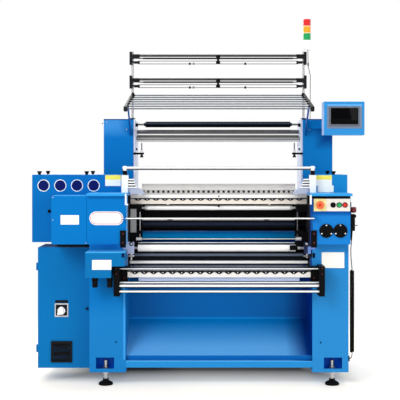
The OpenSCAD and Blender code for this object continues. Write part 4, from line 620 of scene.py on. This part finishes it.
# Plastic of several colours: the stop mushroom, the tower's lenses, the door's fittings and the control gear
stop_red = finish("stop_red", GRAIN, (216, 94, 38), Shine=0.24, Grain=0.05, shader=GLOSS, patches=[
    patch((176, 30, 14), area(x=(552, 575), z=(1024, 1047), border=8))])
tower_glass = finish("tower_glass", GRAIN, (204, 22, 28), Shine=0.16, Grain=0.02, shader=GLOSS, patches=[
    patch((5, 150, 80), area(z=(-FAR, LENS_FOOT + LENS_STEP))),
    patch((242, 154, 24), area(z=(LENS_FOOT + LENS_STEP, LENS_FOOT + 2 * LENS_STEP))),
    patch((250, 236, 214), *[area(z=(LENS_FOOT + i * LENS_STEP - 1.6, LENS_FOOT + i * LENS_STEP + 1.6))
                             for i in (1, 2)])])
door_parts = finish("door_parts", GRAIN, (22, 22, 24), Shine=0.4, Grain=0.15, patches=[
    patch((176, 180, 186), area(x=(SWITCH_X - 40, SWITCH_X + 40), z=(SWITCH_Z - 40, SWITCH_Z + 40))),
    patch((26, 26, 28), area(x=(SWITCH_X - 33, SWITCH_X + 33), z=(SWITCH_Z - 31, SWITCH_Z + 32))),
    patch((10, 40, 84), area(x=(755, 785), z=(SWITCH_Z - 4, SWITCH_Z + 20)))])
screen_rim = finish("screen_rim", GRAIN, (92, 98, 108), Shine=0.36, Grain=0.12, patches=[
    patch((6, 6, 8), area(x=(SCREEN_LOW.x + 8.5, SCREEN_LOW.x + 165),
                          z=(SCREEN_LOW.z + 10.5, SCREEN_LOW.z + 103.8)))])
gear_parts = finish("gear_parts", GRAIN, (178, 180, 182), Shine=0.4, Grain=0.1, patches=[
    patch((52, 54, 60), area(x=(885, 1005), y=BEFORE_GEAR_PLATE, z=(500, 700))),
    patch((226, 226, 222), area(x=(700, 876), y=BEFORE_GEAR_PLATE, z=(585, 680))),
    patch((66, 68, 74), area(x=(700, 876), y=BEFORE_GEAR_PLATE, z=(440, 530))),
    patch((206, 190, 140), area(x=(700, 1001), y=BEFORE_GEAR_PLATE, z=(350, 415))),
    patch((70, 62, 52), area(x=(830, 970), y=BEFORE_GEAR_PLATE, z=(160, 290)), metal=0.2)])

FINISHES = {
    "left_frame": left_blue, "right_frame": right_blue, "side_plates": plate_metal,
    "cross_members": frame_blue, "tray": tray_blue, "foot_pads": tyre_rubber, "foot_bolts": zinc_steel,
    "cabinet": door_enamel, "cabinet_door": door_enamel, "door_fittings": door_parts,
    "switch_handle": white_plastic, "control_gear": gear_parts, "drive_box": box_enamel,
    "drive_box_lid": box_enamel, "thumb_knobs": black_plastic, "left_cover": cover_blue,
    "takedown_cover": gear_blue, "cable_plugs": black_plastic, "main_motor": casting_grey,
    "motor_pulley": turned_steel, "drive_belt": tyre_rubber, "main_shaft": turned_steel,
    "bed_beam": black_enamel, "needle_bed": bed_metal, "needle_bar": bar_cream,
    "needle_clamps": satin_black, "guide_bar": guide_tube, "lift_rod": painted_reflection_lift,
    "guide_blocks": block_white, "end_brackets": bracket_black, "start_rod": painted_reflection_rod,
    "cloth_roller": painted_sheen_black, "white_roller": roller_white, "grip_roller": painted_sheen_grip,
    "press_roller": painted_reflection_rod, "spreader_roller": knurled_steel, "guide_rods": painted_reflection_guide_rod,
    "lower_bar": bar_cream, "lower_clamps": satin_black, "rubber_roller": painted_sheen_navy,
    "upper_feed_roller": grey_chrome, "lower_feed_roller": painted_reflection_chrome, "control_box": control_blue,
    "right_upper_box": lit_blue_enamel, "panel_plate": panel_metal, "stop_button": stop_red,
    "black_button": black_plastic, "green_button": green_plastic, "red_button": red_plastic,
    "box_fittings": black_plastic, "isolator_knob": wine_plastic, "screen_arm": blue_enamel,
    "screen_box": screen_blue, "screen_panel": screen_rim, "yarn_stand": stand_steel,
    "rod_rack": rack_steel, "tower_base": white_plastic, "tower_lenses": tower_glass,
}
for node, material in FINISHES.items():
    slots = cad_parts[node].data.materials
    slots.clear()
    slots.append(material)
cord.data.materials.append(tyre_rubber)


# Edges: folded sheet and castings have no knife edges, so the large pieces' corners are eased
def ease_edges(node, width):
    """Rounds a piece's outer corners with live modifiers, which leave its own mesh as it is."""
    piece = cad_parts[node]
    weld = piece.modifiers.new("weld", "WELD")
    weld.merge_threshold = 0.00002
    flat = piece.modifiers.new("flat", "DECIMATE")
    flat.decimate_type = "DISSOLVE"
    flat.angle_limit = math.radians(0.5)
    bevel = piece.modifiers.new("bevel", "BEVEL")
    bevel.width = width * MM
    bevel.segments = 2
    bevel.limit_method = "ANGLE"
    bevel.angle_limit = math.radians(34)
    bevel.use_clamp_overlap = True
    bevel.harden_normals = True


EASED = {"left_frame": 3, "right_frame": 3, "cross_members": 1.5, "cabinet": 1, "cabinet_door": 1.2,
         "drive_box": 1.2, "drive_box_lid": 1, "left_cover": 1.2, "takedown_cover": 1.2, "control_box": 1.2,
         "right_upper_box": 1.2, "screen_arm": 2.5, "end_brackets": 0.8, "guide_blocks": 0.8,
         "screen_box": 1.2}
for node, width in EASED.items():
    ease_edges(node, width)


# Modelling: each small piece starts as a primitive at its place and is shaped in edit mode
FACES = (False, False, True)
EDGES = (False, True, False)
FACING_FRONT = (math.radians(90), 0, 0)


def start(piece_kind, **settings):
    """A new primitive, alone selected, with its turn and size taken into its mesh."""
    bpy.ops.object.select_all(action="DESELECT")
    piece_kind(**settings)
    bpy.ops.object.transform_apply(location=False, rotation=True, scale=True)
    return bpy.context.object


def choose(piece, mode, test):
    """In edit mode, selects just the faces or edges that pass a test."""
    bpy.context.tool_settings.mesh_select_mode = mode
    mesh = bmesh.from_edit_mesh(piece.data)
    bpy.ops.mesh.select_all(action="DESELECT")
    for part in (mesh.faces if mode == FACES else mesh.edges):
        if test(part):
            part.select_set(True)
    mesh.select_flush_mode()
    bmesh.update_edit_mesh(piece.data)


def faces_front(face):
    return face.normal.y < -0.9


def runs_back(edge):
    along = edge.verts[1].co - edge.verts[0].co
    return abs(along.y) > 0.9 * along.length


def settle(piece, name, material, body=MACHINE):
    """Ends a piece: its origin on the machine's, its name, finish and body."""
    select_only(piece)
    bpy.ops.object.transform_apply(location=True, rotation=True, scale=True)
    bpy.ops.object.shade_smooth_by_angle(angle=math.radians(35))
    piece.name = name
    if not piece.data.materials:
        piece.data.materials.append(material)
    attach(piece, body)


def settle_row(piece, name, shifts, material, body=MACHINE):
    """Settles a piece and its copies, each with its own mesh, moved by each shift in millimetres."""
    settle(piece, f"{name}_01", material, body)
    for number, shift in enumerate(shifts, start=2):
        twin = piece.copy()
        twin.data = piece.data.copy()
        bpy.context.scene.collection.objects.link(twin)
        twin.location = Vector(shift) * MM
        settle(twin, f"{name}_{number:02d}", None, body)


def cube(low, high):
    """A sharp box between two corners."""
    low, high = at(*low), at(*high)
    return start(bpy.ops.mesh.primitive_cube_add, size=1, location=(low + high) / 2, scale=high - low)


def cylinder(place, diameter, depth, vertices):
    """A cylinder that stands out to the front from a place."""
    return start(bpy.ops.mesh.primitive_cylinder_add, vertices=vertices, radius=diameter / 2 * MM,
                 depth=depth * MM, rotation=FACING_FRONT,
                 location=at(place[0], place[1] - depth / 2, place[2]))


def block(low, high, ease=0.5):
    """A box between two corners, with eased edges."""
    piece = cube(low, high)
    bpy.ops.object.mode_set(mode="EDIT")
    bpy.ops.mesh.select_all(action="SELECT")
    bpy.ops.mesh.bevel(offset=ease * MM, segments=2, affect="EDGES")
    bpy.ops.object.mode_set(mode="OBJECT")
    return piece


def screw(place, diameter, head, socket):
    """A button-head screw that faces the front, with a round socket."""
    piece = cylinder(place, diameter, head, 24)
    bpy.ops.object.mode_set(mode="EDIT")
    choose(piece, EDGES, lambda edge: all(v.co.y < 0 for v in edge.verts))
    bpy.ops.mesh.bevel(offset=head * 0.45 * MM, segments=3, affect="EDGES")
    choose(piece, FACES, faces_front)
    bpy.ops.mesh.inset(thickness=(diameter * 0.42 - socket / 2) * MM)
    bpy.ops.mesh.extrude_region_move(TRANSFORM_OT_translate={"value": (0, head * 0.55 * MM, 0)})
    bpy.ops.object.mode_set(mode="OBJECT")
    return piece


def plate(low, high, corner, rings, segments=4):
    """A thin plate with rounded corners; each ring is its distance from the last one, and what it starts."""
    piece = cube(low, high)
    bpy.ops.object.mode_set(mode="EDIT")
    choose(piece, EDGES, runs_back)
    bpy.ops.mesh.bevel(offset=corner * MM, segments=segments, affect="EDGES")
    bpy.ops.object.mode_set(mode="OBJECT")
    return ring_face(piece, rings)


def disc(place, diameter, thick, rings=()):
    """A thin round plate that faces the front."""
    return ring_face(cylinder(place, diameter, thick, 64), rings)


def ring_face(piece, rings):
    """Divides a piece's front into rings, each of its own finish from its outer edge inwards."""
    for _, material in rings:
        piece.data.materials.append(material)
    bpy.ops.object.mode_set(mode="EDIT")
    choose(piece, FACES, faces_front)
    for number, (distance, _) in enumerate(rings):
        if distance:
            bpy.ops.mesh.inset(thickness=distance * MM)
        piece.active_material_index = number
        bpy.ops.object.material_slot_assign()
    bpy.ops.object.mode_set(mode="OBJECT")
    return piece


# Screws on the clamp plates' lobes, the bearing covers, the slide strips and the front brackets
LOBE_PITCH = 52.8
LOBES_A_SIDE = 9
CLAMPS = {"upper_lobe_screw": (176, 1055.5, "needle_carrier"), "lower_lobe_screw": (-50, 651.5, MACHINE)}
for name, (y, z, body) in CLAMPS.items():
    shifts = [(i * LOBE_PITCH, 0, 0) for i in range(1, 2 * LOBES_A_SIDE + 1)]
    settle_row(screw((-LOBES_A_SIDE * LOBE_PITCH, y, z), 7, 2.2, 3), name, shifts, chrome_plate,
               body)

DISC_XS = (602.6, 682)
DISC_Z = 890
DISC_SCREW_R = 31
disc_screws = [(x + DISC_SCREW_R * math.cos(math.radians(a)), COVER_FACE - 8,
                DISC_Z + DISC_SCREW_R * math.sin(math.radians(a))) for x in DISC_XS for a in (90, 210, 330)]
WING_BOLTS = [(x, -6, 810.8) for x in (499.4, -499.4)]
STRIP_SCREWS = [(x, COVER_FACE - 8, z) for x in (-540.5, 532.5) for z in (874, 823)]
BRACKET_SCREWS = [(side * 574, -115, z) for side in (-1, 1) for z in (683, 653)]
BLOCK_SCREWS = [(side * 536, -50, z) for side in (-1, 1) for z in (676, 622)]
COLUMN_SCREWS = [(side * x, COLUMN_FACE, z) for side in (-1, 1) for x, z in ((574, 1482), (700, 1530))]
SCREW_SETS = {
    "disc_screw": (disc_screws, 9, 3, 4, chrome_plate, "chrome_finish"),
    "left_strip_screw": (STRIP_SCREWS[:2], 10, 4, 5, brown_screw, "bare_steel"),
    "right_strip_screw": (STRIP_SCREWS[2:], 10, 4, 5, brown_screw, "bare_steel"),
    "bracket_screw": (BRACKET_SCREWS, 8, 3, 4, brown_screw, "bare_steel"),
    "block_screw": (BLOCK_SCREWS, 9, 3, 4, brown_screw, "bare_steel"),
    "wing_bolt": (WING_BOLTS, 15, 4, 8, zinc_steel, "bare_steel"),
    "frame_screw": ([(-587, 0, 251), (580, 0, 248)], 9, 3, 4, navy_paint, "bare_steel"),
    "cover_screw": ([(-936, COVER_FACE, 1078), (-936, COVER_FACE, 951), (-748, COVER_FACE, 821)],
                    7, 2.5, 3, zinc_steel, "bare_steel"),
    "column_screw": (COLUMN_SCREWS, 9, 3, 4, zinc_steel, "bare_steel"),
}
for name, (places, diameter, head, socket, material, slot) in SCREW_SETS.items():
    shifts = [Vector(p) - Vector(places[0]) for p in places[1:]]
    settle_row(screw(places[0], diameter, head, socket), name, shifts, material)


# Small fixed parts: guards, bearings and stubs at the rollers' and bars' ends, and backs of openings; the
# dark plates in the cover's and the frame's openings and a black strip above the cabinet are painted shade
SMALL_BLOCKS = {
    "left_end_guard": ((-527.5, -97, 1036), (-518.5, -95, 1097.5), sign_white, "white_plastic"),
    "left_guard_foot": ((-518.8, -97, 1034), (-510, -95, 1042), sign_white, "white_plastic"),
    "right_end_guard": ((508, -95, 1039), (518, -86, 1092), sign_white, "white_plastic"),
    "left_carrier": ((-522, 126, 690), (-471, 131, 812), satin_black, "black_finish"),
    "right_carrier": ((443, 126, 690), (522, 131, 812), satin_black, "black_finish"),
    "left_bearing_post": ((-511, 74, 709), (-502, 84, 757), bright_steel, "bare_steel"),
    "left_bearing_arm": ((-522, 74, 730), (-490, 84, 738), bright_steel, "bare_steel"),
    "right_bearing_post": ((506, 74, 722), (515, 84, 756), bright_steel, "bare_steel"),
    "right_bearing_arm": ((490, 74, 729), (522, 84, 735), zinc_steel, "bare_steel"),
    "roller_stop": ((410, 70, 767), (455, 78, 796), satin_black, "black_finish"),
    "roller_stop_arm": ((447.5, 78, 787.5), (455, 126, 796), satin_black, "black_finish"),
    # Painted shade: dark plates for the shade inside the openings in the cover and the right frame
    "cover_opening": ((-541, -151, 748), (-526, -150, 771), navy_paint, "blue_paint"),
    "frame_opening": ((533, -1, 730), (548, 0, 758), satin_black, "black_finish"),
    "column_stub": ((-731, 540, 1519), (-724, 548, 1525), satin_black, "black_finish"),
    # Painted shade: a black strip in the shaded gap above the cabinet
    "cabinet_gap_shade": ((-942, 104, 785), (-742, 112, 813.4), black_plastic, "black_plastic"),
}
TWIN_BLOCKS = {
    "arm_root": ((519, 524, 1325.5), (531.6, 533, 1338.5), satin_black, "black_finish"),
    "plate_stub": ((513, 604, 1354), (523, 618, 1368), satin_black, "black_finish"),
    "window_back": ((588, 64, 83), (712, 66, 172), window_blue, "blue_paint"),
}
for name, (low, high, material, slot) in TWIN_BLOCKS.items():
    SMALL_BLOCKS[f"left_{name}"] = ((-high[0], *low[1:]), (-low[0], *high[1:]), material, slot)
    SMALL_BLOCKS[f"right_{name}"] = (low, high, material, slot)
RAIL_BLOCKS = {
    "rail_block": ((-13, RAIL_Y - 20, -19), (13, RAIL_Y - 12.2, -1.5)),
    "wire_block": ((-13, RAIL_Y - 20, -54), (13, RAIL_Y - 12.2, -36)),
    "wire_clip": ((-183, RAIL_Y - 5, -58), (-172, RAIL_Y + 3, -44)),
}
for z in RAIL_ZS:
    for name, (low, high) in RAIL_BLOCKS.items():
        SMALL_BLOCKS[f"{name}_{z}"] = ((*low[:2], z + low[2]), (*high[:2], z + high[2]), satin_black,
                                       "black_finish")
for name, (low, high, material, slot) in SMALL_BLOCKS.items():
    settle(block(low, high), name, material)


ARM_X = 482


def cone(place, low_d, high_d, height):
    """An upright cone that stands on a place."""
    return start(bpy.ops.mesh.primitive_cone_add, vertices=32, radius1=low_d / 2 * MM,
                 radius2=high_d / 2 * MM, depth=height * MM,
                 location=at(place[0], place[1], place[2] + height / 2))


settle(screw((1.4, 180, 1076), 9, 3, 4), "bar_screw", satin_black, "needle_carrier")
settle_row(cone((-ARM_X, 560, 1308), 25, 11, 18), "arm_foot", [(2 * ARM_X, 0, 0)], satin_black)
settle_row(disc(WING_BOLTS[1], 25, 1), "bolt_ring", [Vector(WING_BOLTS[0]) - Vector(WING_BOLTS[1])],
           satin_black)


# Bare plates and signs: their outlines alone, with nothing on them
SIGN_XS = (-1027.5, -929.5, -831.5, -733.5)
settle_row(disc((SIGN_XS[0], DRIVE_FACE, 1139.8), 71, 0.8, [(0, sign_white), (4.2, sign_blue)]),
           "round_sign", [(x - SIGN_XS[0], 0, 0) for x in SIGN_XS[1:]], None)

OVAL_RINGS = [(0, sign_white), (5, sign_red), (3, sign_white)]
oval = plate((-729.5, COVER_FACE - 2, 922), (-538.3, COVER_FACE, 998.5), 38, OVAL_RINGS, segments=14)
settle(oval, "oval_plate", None)
BARE_PLATES = {
    "cover_label": ((-892, COVER_FACE - 0.6, 925), (-788.5, COVER_FACE, 977.7), sign_white),
    "gear_label": ((-704.7, GEAR_FACE - 0.6, 679.8), (-597.3, GEAR_FACE, 734), sign_white),
    "left_caution_card": ((-665.7, DRIVE_FACE - 0.6, 1137), (-574.8, DRIVE_FACE, 1201), sign_white),
    "left_caution_band": ((-665.2, DRIVE_FACE - 1, 1174), (-575.3, DRIVE_FACE - 0.5, 1200.5), sign_yellow),
    "right_caution_card": ((571.6, DRIVE_FACE - 0.6, 1140), (663.7, DRIVE_FACE, 1200), card_white),
    "right_caution_band": ((572.1, DRIVE_FACE - 1, 1174), (663.2, DRIVE_FACE - 0.5, 1199.5), sign_yellow),
    "lower_card": ((580.4, DRIVE_FACE - 1.3, 1101), (673.7, DRIVE_FACE - 0.5, 1141), card_white),
    "setting_card": ((585.4, -0.8, 673), (714.2, 0, 762.4), card_white),
}
for name, (low, high, material) in BARE_PLATES.items():
    settle(plate(low, high, 2, [(0, material)]), name, None)


# A black strip that stands for the shade under the right shelf, the screen's glass, and the plug beside the
# left cover
settle(block((516, COVER_FACE - 1.6, 1071), (737, COVER_FACE + 0.2, 1085.6)), "shelf_shade_strip", black_plastic)
GLASS = ((SCREEN_LOW.x + 12.2, SCREEN_LOW.y + 0.5, SCREEN_LOW.z + 11.2),
         (SCREEN_LOW.x + 159, SCREEN_LOW.y + 2.1, SCREEN_LOW.z + 101.2))
settle(block(*GLASS, ease=0.3), "screen_glass", screen_glass, "screen")
settle(screw((-993.5, DRIVE_FACE, 989), 19, 7, 8), "box_plug", black_plastic)


# Floor, backdrop and light: a white sweep behind and under the machine, with a painted shadow under it, and a
# dim room behind the camera
ROOM_LIGHT = 0.3
WHITE = (1, 1, 1, 1)
SHADE = (0.11, 0.1, 0.09, 1)
FLOOR_TONES = ((0.80, 0.74, 0.64, 1), (0.84, 0.78, 0.68, 1))
FLOOR_GLOW = 0.34
SWEEP = (1.3, 2.6)
# Painted shadow: under the machine the floor is painted dark and its glow fades out
PAINTED_SHADOW_AREAS = [area(x=(-FAR, reach), y=(80, 940), side=side, border=340)
                 for side, reach in ((-1, 1050), (1, 840))]


def studio_floor():
    """A white floor with the machine's soft shadow and a painted shadow under it, running into the white
    backdrop.
    """
    bpy.ops.mesh.primitive_plane_add(size=60, location=(0, 8, -0.0005))
    floor = bpy.context.object
    floor.name = "studio_floor"
    bpy.ops.object.transform_apply(location=True, rotation=False, scale=False)
    material = bpy.data.materials.new("studio_white")
    material.use_nodes = True
    material.node_tree.nodes.clear()
    net = Net(material.node_tree)
    place = net.add("ShaderNodeTexCoord").outputs["Object"]
    under = inside_any(net, PAINTED_SHADOW_AREAS)
    tone = net.mix(under, net.mix(net.noise(place, 0.6), *FLOOR_TONES), SHADE)
    matt = net.add("ShaderNodeBsdfDiffuse", {"Color": tone}).outputs[0]
    lift = net.ramp(under, 0.0, 1.0, FLOOR_GLOW, 0.0)
    glow = net.add("ShaderNodeEmission", {"Color": WHITE, "Strength": lift}).outputs[0]
    near = net.add("ShaderNodeAddShader", {0: matt, 1: glow}).outputs[0]
    far = net.add("ShaderNodeEmission", {"Color": WHITE, "Strength": 1.0}).outputs[0]
    away = net.add("ShaderNodeVectorMath", {0: place}, operation="LENGTH").outputs["Value"]
    shown = net.add("ShaderNodeMixShader", {0: net.ramp(away, *SWEEP), 1: near, 2: far}).outputs[0]
    net.add("ShaderNodeOutputMaterial", {"Surface": shown})
    floor.data.materials.append(material)


def studio_world():
    """White behind the machine, where the camera looks, and a dim grey room on the camera's side."""
    world = bpy.data.worlds.new("studio")
    bpy.context.scene.world = world
    world.use_nodes = True
    world.node_tree.nodes.clear()
    net = Net(world.node_tree)
    towards = net.split(net.add("ShaderNodeTexCoord").outputs["Generated"])
    behind = net.ramp(towards["Y"], -0.25, 0.3)
    above = net.ramp(towards["Z"], 0.25, 0.9, 0.0, 0.5)
    light = net.ramp(net.math("MAXIMUM", behind, above), 0.0, 1.0, ROOM_LIGHT, 1.0)
    shown = net.add("ShaderNodeBackground", {"Color": WHITE, "Strength": light}).outputs[0]
    net.add("ShaderNodeOutputWorld", {"Surface": shown})


def soft_box(name, place, target, width, height, power):
    """One soft lamp that points at a place on the machine."""
    data = bpy.data.lights.new(name, "AREA")
    data.shape = "RECTANGLE"
    data.size = width
    data.size_y = height
    data.energy = power
    lamp = bpy.data.objects.new(name, data)
    lamp.location = place
    lamp.rotation_mode = "QUATERNION"
    lamp.rotation_quaternion = (Vector(target) - Vector(place)).to_track_quat("-Z", "Y")
    bpy.context.scene.collection.objects.link(lamp)


studio_floor()
studio_world()
soft_box("key_light", (-2.6, -4.2, 3.6), (0, 0, 1.0), 2.4, 2.4, 150)
soft_box("fill_light", (3.4, -3.8, 2.2), (0.1, 0, 0.9), 2.6, 2.6, 70)
soft_box("top_light", (0.2, 0.6, 4.6), (0.1, 0, 0.8), 3.0, 3.0, 90)
soft_box("back_light", (-1.5, 4.5, 3.0), (0, 0.3, 1.2), 3.0, 2.0, 60)
